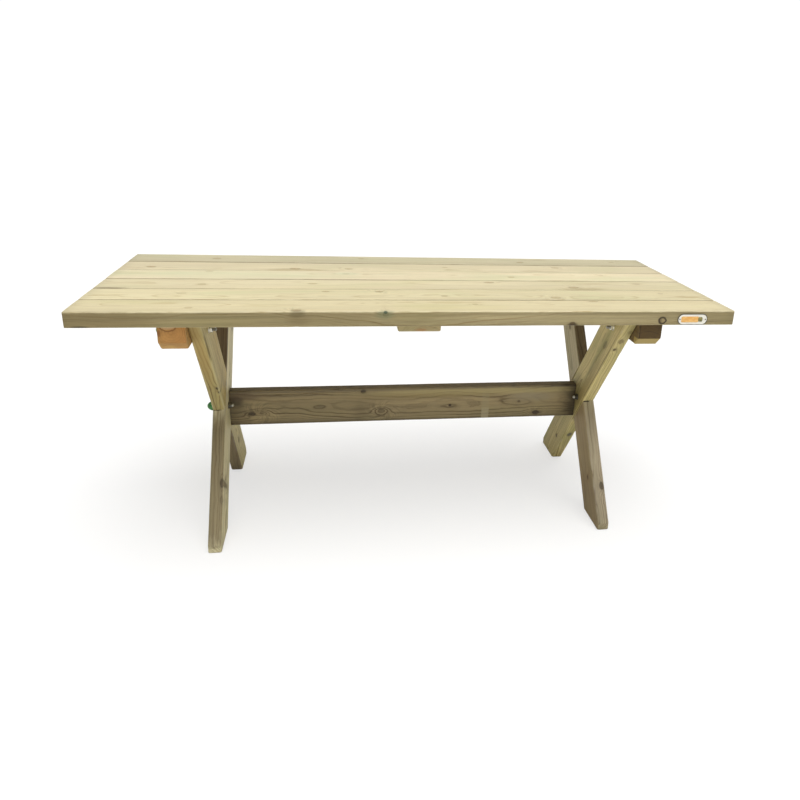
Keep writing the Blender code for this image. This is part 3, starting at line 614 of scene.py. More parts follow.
# ------------------------------------------------------------ the six boards
DECK_KNOT = (186, 160, 114)
BOARDS = {
    1: dict(early=(236, 224, 184), late=(188, 162, 108), tint=(222, 214, 160), pith=(0.012, -0.055), spacing=0.0058, seed=11,
            knots=[(-0.341, -0.046, 0.004, "c", 0.0095, 1.25, 1.1, 4.5, 0.6), (-0.110, -0.055, 0.014, "b", 0.0060, 1.1, 1.0, 4.0, 0.4),
                   (0.678, 0.0, -0.0065, "b", 0.0100, 1.10, 0.9, 3.2, 0.35), (0.505, 0.047, 0.0, "c", 0.0050, 2.6, 0.9, 5.0, 0.6),
                   (-0.612, -0.020, 0.0, "c", 0.0060, 1.5, 0.8, 4.5, 0.35), (0.410, 0.0, -0.016, "b", 0.0065, 1.3, 0.9, 3.5, 0.8),
                   (0.145, 0.014, 0.0, "c", 0.0055, 1.4, 0.9, 5.0, 0.4)],
            rays=[(-0.341, -0.046, 0.008, 0.034, 0.10), (-0.110, -0.058, 0.007, 0.024, 0.12)]),
    2: dict(early=(234, 222, 182), late=(192, 168, 116), tint=(214, 214, 165), pith=(-0.020, -0.042), spacing=0.0050, seed=23,
            knots=[(-0.657, 0.008, 0.0, "c", 0.0085, 1.4, 1.1, 4.5, 0.25), (-0.268, 0.030, 0.0, "c", 0.0060, 1.6, 1.0, 5.0, 0.6),
                   (-0.115, 0.032, 0.0, "c", 0.0085, 1.2, 1.3, 4.0, 0.55), (0.071, -0.016, 0.0, "c", 0.0070, 1.3, 1.0, 4.2, 0.45),
                   (0.403, -0.034, 0.0, "c", 0.0095, 1.5, 1.4, 4.0, 0.50), (0.760, 0.020, 0.0, "c", 0.0060, 1.4, 0.9, 4.5, 0.4)],
            rays=[(-0.115, 0.032, 0.008, 0.040, 0.09), (0.403, -0.034, 0.010, 0.040, 0.08)]),
    3: dict(early=(234, 222, 184), late=(190, 166, 114), tint=(222, 216, 168), pith=(0.025, -0.060), spacing=0.0062, seed=37,
            knots=[(-0.621, -0.005, 0.0, "c", 0.0075, 1.4, 1.0, 4.5, 0.40), (-0.307, 0.007, 0.0, "c", 0.0055, 2.4, 0.9, 5.0, 0.5),
                   (0.240, 0.036, 0.0, "c", 0.0080, 1.9, 1.0, 4.0, 0.60), (0.501, -0.025, 0.0, "c", 0.0090, 1.7, 1.1, 4.2, 0.55),
                   (0.734, 0.027, 0.0, "c", 0.0070, 1.5, 1.0, 4.5, 0.45)],
            rays=[(0.501, -0.025, 0.010, 0.040, 0.07)]),
    4: dict(early=(235, 229, 190), late=(202, 184, 132), tint=(206, 214, 166), pith=(0.004, -0.050), spacing=0.0056, seed=41,
            knots=[(-0.206, 0.019, 0.0, "c", 0.0075, 1.4, 1.0, 4.5, 0.40), (-0.626, 0.040, 0.0, "c", 0.0070, 1.5, 1.0, 4.5, 0.35),
                   (0.330, -0.010, 0.0, "c", 0.0075, 1.4, 1.0, 4.5, 0.40), (0.655, 0.030, 0.0, "c", 0.0060, 1.4, 0.9, 4.5, 0.35)]),
    5: dict(early=(228, 217, 181), late=(182, 160, 114), tint=(212, 208, 166), pith=(-0.030, -0.045), spacing=0.0050, seed=53,
            knots=[(-0.811, -0.020, 0.0, "c", 0.0070, 1.9, 1.0, 4.5, 0.75), (-0.369, -0.030, 0.0, "c", 0.0080, 2.0, 1.1, 4.5, 0.60),
                   (-0.197, -0.026, 0.0, "c", 0.0080, 1.5, 1.0, 4.5, 0.55), (0.528, 0.024, 0.0, "c", 0.0100, 1.3, 1.2, 3.8, 0.40),
                   (0.130, 0.010, 0.0, "c", 0.0060, 1.4, 0.9, 4.5, 0.4)],
            rays=[(0.528, 0.024, 0.010, 0.036, 0.08)]),
    6: dict(early=(218, 210, 178), late=(178, 160, 120), tint=(204, 202, 164), pith=(0.018, -0.070), spacing=0.0060, seed=67,
            knots=[(-0.633, -0.003, 0.0, "c", 0.0095, 1.3, 1.1, 4.0, 0.45), (-0.150, 0.020, 0.0, "c", 0.0065, 1.6, 0.9, 4.5, 0.4),
                   (0.420, -0.015, 0.0, "c", 0.0080, 1.5, 1.0, 4.5, 0.45), (0.780, 0.010, 0.0, "c", 0.0070, 1.4, 1.0, 4.5, 0.4)]),
}
BOARD_CHECKS = {
    1: [("+c", 0.470, 0.545, 0.047, 0.0009, 0.0030, 0.0010), ("+c", 0.790, 0.90, 0.018, 0.0008, 0.0035, 0.0012)],
    2: [("+c", -0.120, -0.040, 0.030, 0.0007, 0.0022, 0.0010), ("+c", -0.90, -0.835, -0.021, 0.0008, 0.0030, 0.0010)],
    3: [("+c", 0.470, 0.600, -0.030, 0.0009, 0.0030, 0.0014), ("+c", 0.820, 0.90, 0.008, 0.0008, 0.0030, 0.0012)],
    4: [("+c", -0.90, -0.790, 0.012, 0.0008, 0.0032, 0.0012), ("+c", 0.300, 0.372, -0.011, 0.0006, 0.0020, 0.0010)],
    5: [("+c", -0.430, -0.330, -0.034, 0.0008, 0.0026, 0.0012), ("+c", 0.850, 0.90, -0.016, 0.0008, 0.0030, 0.0010)],
    6: [("+c", -0.90, -0.840, 0.020, 0.0008, 0.0030, 0.0010), ("+c", 0.395, 0.470, -0.016, 0.0006, 0.0020, 0.0010)],
}
BOARD_BOW = {1: (0.0002, 0.0002), 2: (0.0005, -0.0007), 3: (0.0003, 0.0007), 4: (0.0006, -0.0004), 5: (0.0002, -0.0008),
             6: (0.0005, 0.0002)}
BOARD_LIFT = {1: 0.0, 2: 0.0002, 3: -0.0001, 4: 0.0004, 5: 0.0, 6: 0.0003}
DECK_GAIN = {1: (1.13, 1.15, 1.20), 2: (1.20, 1.24, 1.32), 3: (1.16, 1.19, 1.27), 4: (1.28, 1.23, 1.36), 5: (1.21, 1.22, 1.30),
             6: (1.09, 1.10, 1.13)}
DECK = (0.62, 0.60, 0.56)
for n, look in BOARDS.items():
    low, high = box_of(f"top_board_{n}")
    centre, half = (low + high) / 2, (high - low) / 2
    axes = (X, Y, Z)
    gain = tuple(g * d for g, d in zip(DECK_GAIN[n], DECK))
    # painted shade darkens each board's edges in the gaps between the boards
    grime_and_shade = (118, 100, 66)
    marks = [("box", (0.0, 0.0605, 0.002), (1.2, 0.0036, 0.030), 0.35, grime_and_shade, 0.64)]
    if n > 1:
        marks += [("box", (0.0, -0.0605, 0.002), (1.2, 0.0036, 0.030), 0.35, grime_and_shade, 0.64)]
    else:
        # the sawn front edge is browner than the planed top, and darker again with painted shade, as it faces away from
        # the overhead light; a pale line runs along its lower arris, and a painted highlight lightens its right part
        marks += [("box", (0.0, -0.0620, -0.004), (1.2, 0.0042, 0.0225), 0.16, (0.495, 0.465, 0.375, 1.0), 1.0),
                  ("box", (0.0, -0.0590, -0.0200), (1.2, 0.0030, 0.0016), 0.45, (206, 192, 150), 0.55),
                  ("blob", (-0.84, -0.0600, -0.004), (0.150, 0.010, 0.030), 0.50, (140, 122, 80), 0.45),
                  ("streaks", (0.0, -0.0620, -0.004), (1.2, 0.0042, 0.0260), 0.16, None, 1.05),
                  ("blob", (0.33, -0.0610, -0.002), (0.42, 0.0050, 0.018), 0.50, (1.28, 1.30, 1.42, 1.0), 1.0),
                  ("blob", (-0.338, -0.0560, 0.015), (0.020, 0.012, 0.010), 0.45, (104, 92, 60), 0.42),
                  ("blob", (-0.334, -0.0600, -0.002), (0.028, 0.008, 0.014), 0.55, (122, 102, 66), 0.22),
                  ("blob", (-0.110, -0.0590, 0.0185), (0.0050, 0.008, 0.0036), 0.35, (12, 24, 22), 0.95),
                  ("blob", (-0.111, -0.0580, 0.0130), (0.0230, 0.014, 0.0120), 0.60, (112, 134, 100), 0.42),
                  ("ring", (0.678, -0.0600, -0.0065), (0.0104, 0.05, 0.0092), 0.44, (48, 36, 22), 0.97),
                  ("blob", (0.671, -0.0600, -0.0070), (0.0050, 0.05, 0.0080), 0.50, (70, 54, 36), 0.45),
                  ("blob", (0.410, -0.0590, -0.0180), (0.0150, 0.010, 0.0060), 0.45, (72, 56, 36), 0.80),
                  ("blob", (-0.862, -0.0590, -0.0190), (0.0180, 0.006, 0.0035), 0.60, (60, 58, 36), 0.65)]
    if n == 4:
        marks += [("blob", (-0.55, 0.0, 0.02), (0.30, 0.055, 0.02), 0.5, (212, 224, 182), 0.32),
                  ("blob", (-0.206, 0.019, 0.02), (0.04, 0.02, 0.02), 0.5, (206, 224, 186), 0.28)]
    if n == 5:
        marks += [("blob", (-0.37, -0.045, 0.02), (0.09, 0.014, 0.02), 0.5, (166, 146, 100), 0.45)]
    if n == 3:
        marks += [("blob", (0.53, -0.046, 0.02), (0.075, 0.013, 0.02), 0.5, (176, 158, 116), 0.50),
                  ("blob", (-0.86, -0.058, 0.02), (0.045, 0.012, 0.02), 0.5, (110, 96, 62), 0.55)]
    mat = wood(f"deck_wood_{n}", axes, centre, half, 0.003, look["seed"], look["early"], look["late"], DECK_KNOT,
               tint=look["tint"], tint_amount=0.45, pith=look["pith"], spacing=look["spacing"], contrast=0.62, streak=0.30,
               fibre=0.24, halo=0.22, wear=0.35, end_colour=(0.80, 0.70, 0.52), knots=look["knots"], gain=gain, marks=marks,
               rays=look.get("rays", ()))
    piece = block(f"board_{n}", mat, axes, centre, half, 0.003, (0.009, 0.0034, 0.0042), look["seed"], end_ease=0.0018,
                  knots=look["knots"], checks=BOARD_CHECKS[n], bow=BOARD_BOW[n], cup=-0.0003, lift=BOARD_LIFT[n])
    put(piece, "deck_wood", f"top_board_{n}")

# ------------------------------------------------------------ the bearers
BEARER_LOOK = {
    "left": dict(early=(196, 160, 106), late=(136, 96, 52), seed=71, pith=(0.004, 0.020), gain=(0.95, 0.92, 0.85),
                 end_colour=(1.02, 0.84, 0.66),
                 marks=[("blob", (-0.350, -0.008, 0.0310), (0.012, 0.0150, 0.0050), 0.35, (206, 180, 150), 0.60),
                        ("ring", (-0.350, -0.007, 0.0380), (0.060, 0.0210, 0.0170), 0.16, (88, 54, 28), 0.62),
                        ("blob", (-0.350, -0.031, 0.0150), (0.012, 0.0060, 0.0075), 0.45, (112, 64, 28), 0.55),
                        ("blob", (-0.338, -0.010, -0.0300), (0.016, 0.0160, 0.0090), 0.45, (208, 172, 108), 0.50)]),
    "right": dict(early=(160, 140, 100), late=(112, 88, 56), seed=83, pith=(-0.006, -0.052), gain=(0.90, 0.86, 0.78),
                  end_colour=(0.33, 0.28, 0.185),
                  # painted shade on the inner face near the front end, under the top
                  marks=[("box", (-0.28, -0.0350, 0.0), (0.10, 0.0040, 0.05), 0.25, (0.60, 0.58, 0.58, 1.0), 1.0),
                         ("box", (-0.3375, 0.0, -0.0235), (0.017, 0.05, 0.0125), 0.12, (186, 168, 108), 0.80)]),
}
CHAMFER = 0.025
for side in ("left", "right"):
    look = BEARER_LOOK[side]
    low, high = box_of(f"bearer_{side}")
    centre, half = (low + high) / 2, ((high - low) / 2)[[1, 0, 2]]
    axes = (Y, X, Z)
    knots = [(-0.120, 0.010, 0.0, "c", 0.0090, 1.4, 1.1, 4.0, 0.9), (0.190, 0.0, 0.008, "b", 0.0080, 1.3, 1.0, 4.0, 0.9),
             (0.040, 0.0, -0.012, "b", 0.0065, 1.3, 1.0, 4.5, 0.7)]
    mat = wood(f"bearer_wood_{side}", axes, centre, half, 0.005, look["seed"], look["early"], look["late"], (92, 62, 36),
               tint=(172, 160, 110), tint_amount=0.35, pith=look["pith"], spacing=0.0042, contrast=0.75, streak=0.45, fibre=0.35,
               wear=0.30, end_colour=look["end_colour"], knots=knots, gain=look["gain"], marks=look["marks"])

    def ends(P, raw, half=half):
        # the lower edge of each end is cut back at 45 degrees
        rise = np.clip(np.abs(P[:, 0]) - (half[0] - CHAMFER), 0, CHAMFER)
        top = half[2]
        P[:, 2] = top - (top - P[:, 2]) * (2 * half[2] - rise) / (2 * half[2])
        return P

    piece = block(f"bearer_{side}_timber", mat, axes, centre, half, 0.005, (0.008, 0.0045, 0.0045), look["seed"], end_ease=0.003,
                  knots=knots, checks=[("-c", -0.26, -0.10, 0.012, 0.0009, 0.0035, 0.0015), ("+b", 0.02, 0.20, -0.006, 0.0008, 0.003, 0.0012)],
                  must_a=(-(half[0] - CHAMFER), half[0] - CHAMFER), shape=ends)
    put(piece, "bearer_wood", f"bearer_{side}")

# ------------------------------------------------------------ the batten
low, high = box_of("centre_batten")
centre, half = (low + high) / 2, ((high - low) / 2)[[1, 0, 2]]
axes = (Y, X, Z)
knots = [(-0.180, 0.020, 0.0, "c", 0.0080, 1.5, 1.0, 4.5, 0.8), (0.110, -0.024, 0.0, "c", 0.0065, 1.4, 1.0, 4.5, 0.7)]
mat = wood("batten_wood", axes, centre, half, 0.0042, 91, (176, 162, 124), (128, 110, 74), (92, 70, 44), tint=(160, 158, 112),
           tint_amount=0.3, pith=(0.02, -0.05), spacing=0.0048, contrast=0.7, streak=0.4, fibre=0.32, wear=0.3,
           end_colour=(0.86, 0.80, 0.70), knots=knots, gain=(1.36, 1.45, 1.66),
           marks=[("blob", (-0.337, 0.005, -0.007), (0.010, 0.0150, 0.0050), 0.5, (150, 104, 62), 0.55)])
piece = block("batten_timber", mat, axes, centre, half, 0.0042, (0.008, 0.0040, 0.0036), 91, end_ease=0.0016, knots=knots,
              checks=[("-c", 0.10, 0.25, 0.010, 0.0008, 0.0028, 0.0012)])
put(piece, "bearer_wood", "centre_batten")

# ------------------------------------------------------------ the legs
LEAN = math.radians(53.0)
C53, S53 = math.cos(LEAN), math.sin(LEAN)
CROSS_Z, LEG_HALF_W, FIT = 0.351, 0.060, 0.00015
TOE_Y = 0.322
LEG_TOP = 0.7027
LEG_LOOK = {
    ("left", "front_top"): dict(seed=101, early=(190, 174, 124), late=(120, 98, 56), tint=(178, 148, 80), tint_amount=0.5,
                                pith=(0.010, 0.045),
                                knots=[(0.171, -0.056, 0.0120, "b", 0.0032, 1.8, 1.2, 5.0, 1.0),
                                       (0.148, -0.056, 0.0155, "b", 0.0034, 1.5, 1.2, 4.0, 1.0),
                                       (0.060, 0.020, 0.0, "c", 0.0080, 1.4, 1.1, 4.0, 0.8), (-0.260, -0.010, 0.0, "c", 0.0080, 1.5, 1.0, 4.5, 0.8)]),
    ("left", "back_top"): dict(seed=113, early=(186, 176, 140), late=(126, 108, 74), tint=(166, 160, 116), tint_amount=0.35,
                               pith=(-0.010, -0.040),
                               knots=[(-0.250, 0.010, 0.0, "c", 0.0070, 1.5, 1.0, 4.5, 0.8), (0.255, -0.020, 0.0, "c", 0.0085, 1.4, 1.0, 4.5, 0.8),
                                      (-0.272, 0.055, 0.0155, "b", 0.0050, 2.4, 1.6, 4.0, 0.75), (-0.322, 0.055, 0.0150, "b", 0.0036, 2.6, 1.2, 4.5, 0.30)]),
    ("right", "front_top"): dict(seed=127, early=(184, 172, 124), late=(112, 94, 56), tint=(128, 132, 84), tint_amount=0.5,
                                 pith=(0.012, -0.045),
                                 knots=[(0.314, -0.018, 0.0, "c", 0.0075, 2.2, 1.2, 4.0, 0.65), (0.393, -0.055, -0.004, "b", 0.0070, 1.5, 1.0, 3.5, 0.55),
                                        (0.350, -0.055, -0.010, "b", 0.0045, 1.3, 0.9, 3.5, 0.9), (0.440, -0.055, 0.008, "b", 0.0050, 1.4, 0.9, 3.5, 0.3),
                                        (-0.204, -0.055, 0.000, "b", 0.0065, 1.6, 1.0, 3.5, 0.75), (-0.291, -0.018, 0.0, "c", 0.0060, 1.5, 1.0, 4.5, 0.8)]),
    ("right", "back_top"): dict(seed=139, early=(182, 168, 136), late=(116, 96, 68), tint=(150, 142, 104), tint_amount=0.35,
                                pith=(-0.012, 0.040),
                                knots=[(-0.334, 0.055, 0.0085, "b", 0.0072, 1.6, 1.3, 3.6, 0.80), (-0.298, 0.015, 0.0, "c", 0.0054, 1.5, 1.0, 4.5, 1.0),
                                       (0.240, 0.012, 0.0, "c", 0.0080, 1.4, 1.0, 4.5, 0.8)]),
}
LEG_GAIN = {("left", "front_top"): (1.00, 1.03, 1.00), ("left", "back_top"): (1.45, 1.50, 1.60), ("right", "front_top"): (1.30, 1.28, 1.20),
            ("right", "back_top"): (1.10, 1.15, 1.12)}
LEG_MARKS = {
    ("left", "front_top"): [("blob", (0.36, -0.058, -0.004), (0.16, 0.014, 0.016), 0.5, (186, 146, 80), 0.38),
                            ("box", (-0.28, 0.0, 0.0), (0.20, 0.08, 0.03), 0.3, (1.22, 1.26, 1.38, 1.0), 1.0),
                            # painted shade on the front-down narrow face above the crossing
                            ("box", (0.26, -0.0595, 0.0), (0.22, 0.0035, 0.03), 0.25, (0.89, 0.88, 0.81, 1.0), 1.0),
                            ("box", (0.115, -0.060, -0.0080), (0.085, 0.004, 0.0012), 0.45, (98, 70, 34), 0.72),
                            ("box", (0.170, -0.060, 0.0165), (0.140, 0.004, 0.0022), 0.45, (206, 196, 156), 0.45),
                            ("box", (0.383, -0.0585, 0.0172), (0.055, 0.0022, 0.0022), 0.40, (62, 48, 24), 0.62),
                            # painted shade, much darker, on the front-down narrow face below the crossing
                            ("box", (-0.30, -0.0595, 0.0), (0.23, 0.0035, 0.030), 0.25, (0.44, 0.40, 0.46, 1.0), 1.0)],
    ("left", "back_top"): [("box", (0.26, 0.0, 0.0190), (0.20, 0.08, 0.0040), 0.3, (1.18, 1.20, 1.28, 1.0), 1.0),
                           ("box", (-0.25, 0.060, -0.016), (0.30, 0.006, 0.0045), 0.4, (168, 160, 126), 0.6),
                           # painted shade in the shoulder line of the lap joint
                           ("box", (-0.0465, 0.0600, -0.0060), (0.0016, 0.0040, 0.0125), 0.30, (66, 50, 22), 0.85),
                           # painted shade on the front-up narrow face below and above the crossing, shaded by the top
                           ("box", (-0.26, 0.0595, 0.0), (0.20, 0.0035, 0.030), 0.25, (0.36, 0.32, 0.27, 1.0), 1.0),
                           ("box", (0.26, 0.0595, 0.0), (0.20, 0.0035, 0.030), 0.25, (0.25, 0.21, 0.20, 1.0), 1.0)],
    # painted shade in the seam along the lower edge at the crossing
    ("right", "front_top"): [("box", (-0.030, -0.0575, -0.0185), (0.062, 0.0030, 0.0040), 0.25, (52, 40, 22), 0.85),
                             ("blob", (-0.005, 0.004, -0.0190), (0.075, 0.045, 0.010), 0.55, None, 0.40),
                             ("blob", (0.30, -0.010, -0.019), (0.20, 0.014, 0.010), 0.6, (112, 112, 70), 0.55),
                             ("blob", (0.10, -0.030, -0.019), (0.16, 0.016, 0.010), 0.6, (110, 92, 56), 0.45),
                             ("box", (0.08, -0.058, -0.018), (0.20, 0.0018, 0.0030), 0.5, (208, 196, 140), 0.6),
                             ("box", (0.20, -0.051, -0.019), (0.16, 0.0022, 0.0030), 0.6, (70, 54, 28), 0.6),
                             ("blob", (-0.204, -0.0600, 0.0), (0.0150, 0.004, 0.0085), 0.5, (84, 84, 76), 0.65)],
    # painted shade on the front-up narrow face below and above the crossing, shaded by the top
    ("right", "back_top"): [("box", (-0.26, 0.0595, 0.0), (0.20, 0.0035, 0.030), 0.25, (0.83, 0.80, 0.88, 1.0), 1.0),
                            ("box", (0.26, 0.0595, 0.0), (0.20, 0.0035, 0.030), 0.25, (0.31, 0.27, 0.24, 1.0), 1.0),
                            # painted shade in the shoulder line of the lap joint
                            ("box", (-0.0485, 0.0600, -0.0095), (0.0020, 0.0040, 0.0098), 0.20, (22, 17, 8), 0.92),
                            ("box", (-0.25, -0.002, -0.0195), (0.30, 0.0575, 0.0032), 0.10, (146, 116, 84), 0.50),
                            ("blob", (-0.298, 0.015, -0.019), (0.0060, 0.0045, 0.004), 0.4, (70, 52, 36), 0.70),
                            ("box", (-0.44, 0.0, 0.0), (0.15, 0.08, 0.03), 0.6, (0.76, 0.75, 0.75, 1.0), 1.0)],
}
foot_a, top_a = -CROSS_Z / S53, (LEG_TOP - CROSS_Z) / S53
mid_a, half_a = (foot_a + top_a) / 2, (top_a - foot_a) / 2
NOTCH = (LEG_HALF_W + 0.0003) / math.sin(2 * LEAN)
LEVEL, ACROSS = -C53 / S53, -math.cos(2 * LEAN) / math.sin(2 * LEAN)
for side in ("left", "right"):
    frame_x = (-1 if side == "left" else 1) * 0.599
    for where, lean in (("front_top", -1), ("back_top", 1)):
        look = LEG_LOOK[side, where]
        # along the leg, across it (upwards), and +X
        axes = (np.array((0.0, lean * C53, S53)), np.array((0.0, -lean * S53, C53)), X)
        centre = np.array((frame_x, 0.0, CROSS_Z))
        half = np.array((half_a, LEG_HALF_W, 0.019))
        keep = lean  # the half of the thickness kept at the crossing
        mat = wood(f"leg_wood_{side}_{where}", axes, centre, (half_a, LEG_HALF_W, 0.019), 0.006, look["seed"], look["early"],
                   look["late"], (88, 72, 44), tint=look["tint"], tint_amount=look["tint_amount"], pith=look["pith"], spacing=0.0046,
                   contrast=0.95, streak=0.90, fibre=0.52, halo=0.35, wear=0.42, end_colour=(1.0, 0.92, 0.80), knots=look["knots"],
                   gain=tuple(v * 0.95 for v in LEG_GAIN[side, where]), marks=LEG_MARKS[side, where])

        def solid(a, b, c, keep=keep):
            return ~((np.abs(a + mid_a) < NOTCH) & (c * keep < FIT))

        def leg_shape(P, raw):
            level = raw[:, 0] + mid_a
            P = P.copy()
            a = P[:, 0] + mid_a
            z = CROSS_Z + a * S53
            # the toe is cut upright
            reach = np.minimum(LEG_HALF_W, (TOE_Y - (CROSS_Z - z) * C53 / S53) * S53)
            P[:, 1] = -LEG_HALF_W + (P[:, 1] + LEG_HALF_W) * (reach + LEG_HALF_W) / (2 * LEG_HALF_W)
            # the mesh lines lie level at the ends, and along the other leg at the crossing
            t = np.clip((np.abs(level) - 0.085) / 0.20, 0, 1)
            t = t * t * (3 - 2 * t)
            P[:, 0] = a + (ACROSS + (LEVEL - ACROSS) * t) * P[:, 1]
            return P

        toe_level = (CROSS_Z - (TOE_Y - LEG_HALF_W / S53) * S53 / C53 - CROSS_Z) / S53 - mid_a
        piece = block(f"leg_{side}_{where}_timber", mat, axes, centre, half, 0.006, (0.0075, 0.0042, 0.0042), look["seed"],
                      end_ease=0.0035, knots=look["knots"], solid=solid, shape=leg_shape,
                      must_a=(-NOTCH - mid_a, NOTCH - mid_a, toe_level), must_c=(keep * FIT,), bow=(0.0, 0.0),
                      checks=[("+c", -0.30, -0.18, 0.020, 0.0009, 0.0030, 0.0014), ("-c", 0.20, 0.33, -0.016, 0.0009, 0.0030, 0.0014)])
        put(piece, "leg_wood", f"leg_{side}_{where}")

# ------------------------------------------------------------ the stretcher
STRETCHER_GAIN = (0.97, 1.02, 1.07)
low, high = box_of("stretcher")
centre, half = (low + high) / 2, ((high - low) / 2)[[0, 2, 1]]
axes = (X, Z, -Y)
knots = [(-0.512, -0.0204, 0.0, "c", 0.0058, 1.9, 1.8, 3.4, 0.8), (-0.480, -0.0174, 0.0, "c", 0.0060, 1.1, 2.4, 4.0, 0.25),
         (-0.295, -0.0004, 0.0, "c", 0.0046, 3.0, 1.6, 5.0, 0.30), (-0.155, 0.0494, 0.0, "c", 0.0062, 1.3, 1.4, 4.0, 1.0),
         (-0.096, -0.0205, 0.0, "c", 0.0070, 1.2, 2.4, 3.6, 0.35), (0.136, -0.0069, 0.0, "c", 0.0034, 1.2, 2.6, 18.0, 1.2, 4.0),
         (0.377, 0.0011, 0.0, "c", 0.0038, 1.2, 2.6, 18.0, 1.3, 4.0), (0.440, -0.0427, 0.0, "c", 0.0070, 1.7, 1.4, 4.2, 0.8)]
marks = [("box", (0.0, 0.0585, 0.010), (1.2, 0.0075, 0.030), 0.35, (98, 88, 72), 0.50), ("box", (0.0, -0.0600, 0.010), (1.2, 0.0095, 0.030), 0.40, (78, 66, 46), 0.60),
         ("blob", (0.26, 0.041, 0.019), (0.40, 0.011, 0.02), 0.5, (186, 168, 116), 0.60),
         ("blob", (0.05, 0.030, 0.019), (0.22, 0.010, 0.02), 0.6, (140, 120, 72), 0.40),
         ("blob", (0.42, 0.018, 0.019), (0.07, 0.016, 0.02), 0.6, (158, 146, 122), 0.45),
         ("box", (0.259, -0.041, 0.019), (0.0125, 0.020, 0.02), 0.22, (178, 164, 130), 0.60),
         ("box", (0.259, 0.006, 0.019), (0.0120, 0.030, 0.02), 0.35, (160, 150, 114), 0.25),
         # painted shade at both ends of the front face, where the stretcher meets the leg crossings
         ("blob", (-0.600, 0.0, 0.019), (0.070, 0.09, 0.03), 0.6, None, 0.40), ("blob", (0.60, -0.01, 0.019), (0.060, 0.12, 0.03), 0.6, None, 0.72),
         ("blob", (-0.558, 0.026, 0.019), (0.020, 0.013, 0.02), 0.5, None, 0.50),
         ("blob", (-0.165, -0.018, 0.019), (0.020, 0.026, 0.02), 0.8, (84, 68, 44), 0.28),
         ("box", (-0.35, 0.0, 0.019), (0.26, 0.10, 0.03), 0.3, (0.91, 0.91, 0.90, 1.0), 1.0),
         ("blob", (0.377, 0.001, 0.019), (0.055, 0.016, 0.02), 0.5, (150, 130, 96), 0.35),
         ("blob", (-0.54, 0.040, 0.019), (0.06, 0.014, 0.02), 0.6, (92, 72, 54), 0.50)]
rays = [(-0.484, -0.020, 0.007, 0.055, 0.17), (-0.090, -0.022, 0.008, 0.050, 0.15), (0.440, -0.043, 0.006, 0.032, 0.12)]
mat = wood("stretcher_wood", axes, centre, half, 0.004, 151, (160, 140, 102), (88, 70, 44), (58, 42, 27), tint=(132, 122, 84),
           tint_amount=0.4, pith=(0.006, -0.048), spacing=0.0052, wander=1.0, contrast=1.0, streak=0.95, fibre=0.50, halo=0.30,
           wear=0.25, knots=knots, marks=marks, rays=rays, gain=tuple(v * 0.95 for v in STRETCHER_GAIN))
piece = block("stretcher_timber", mat, axes, centre, half, 0.004, (0.0075, 0.0036, 0.0042), 151, end_ease=0.001, knots=knots,
              checks=[("+c", -0.50, -0.26, 0.046, 0.0008, 0.0026, 0.0014), ("+c", 0.30, 0.345, 0.0015, 0.0006, 0.002, 0.0008)])
put(piece, "rail_wood", "stretcher")


# ============================================================ metal and plastic
def metal(name, base, rough, grime_and_shade=0.35):
    m, k, bsdf = new_material(name, (*base, 1.0))
    where = k.node("ShaderNodeTexCoord").outputs["Object"]
    cloud = k.noise(where, 380.0, 3.0)
    spangle = k.node("ShaderNodeTexVoronoi")
    k.set(spangle.inputs["Vector"], where)
    spangle.inputs["Scale"].default_value = 900.0
    flake = k.split(spangle.outputs["Color"])[0]
    scratch = k.noise(k.vec("MULTIPLY", where, (500.0, 4200.0, 2600.0)), 1.0, 2.0)
    colour = k.mix(k.step(cloud, 0.38, 0.72), (*base, 1.0), (base[0] * 0.80, base[1] * 0.80, base[2] * 0.74, 1.0))
    colour = k.shade(colour, k.madd(flake, 0.16, 0.90))
    dirt = k.step(k.noise(where, 160.0, 4.0), 0.56, 0.74)
    colour = k.mix(k.mul(dirt, grime_and_shade), colour, (0.20, 0.17, 0.12, 1.0))
    k.set(bsdf.inputs["Base Color"], colour)
    bsdf.inputs["Metallic"].default_value = 1.0
    r = k.add(rough, k.mul(k.sub(cloud, 0.5), 0.25))
    r = k.add(r, k.mul(dirt, 0.22))
    k.set(bsdf.inputs["Roughness"], r)
    relief = k.node("ShaderNodeBump")
    relief.inputs["Strength"].default_value = 0.35
    relief.inputs["Distance"].default_value = 0.00008
    k.set(relief.inputs["Height"], k.add(scratch, k.mul(flake, 0.4)))
    k.set(bsdf.inputs["Normal"], relief.outputs[0])
    return m


def moulded(name, base):
    m, k, bsdf = new_material(name, (*base, 1.0))
    where = k.node("ShaderNodeTexCoord").outputs["Object"]
    cloud = k.noise(where, 90.0, 3.0)
    grain = k.noise(where, 1900.0, 3.0, 0.65)
    dust = k.step(k.noise(where, 240.0, 4.0), 0.54, 0.72)
    colour = k.mix(cloud, (*base, 1.0), (base[0] * 1.6, base[1] * 1.25, base[2] * 1.3, 1.0))
    colour = k.mix(k.mul(dust, 0.16), colour, (0.45, 0.46, 0.38, 1.0))
    k.set(bsdf.inputs["Base Color"], colour)
    k.set(bsdf.inputs["Roughness"], k.add(k.madd(k.sub(cloud, 0.5), 0.12, 0.36), k.mul(dust, 0.2)))
    bsdf.inputs["Subsurface Weight"].default_value = 0.06
    bsdf.inputs["Subsurface Radius"].default_value = (0.002, 0.004, 0.002)
    relief = k.node("ShaderNodeBump")
    relief.inputs["Strength"].default_value = 0.22
    relief.inputs["Distance"].default_value = 0.00006
    k.set(relief.inputs["Height"], grain)
    k.set(bsdf.inputs["Normal"], relief.outputs[0])
    return m


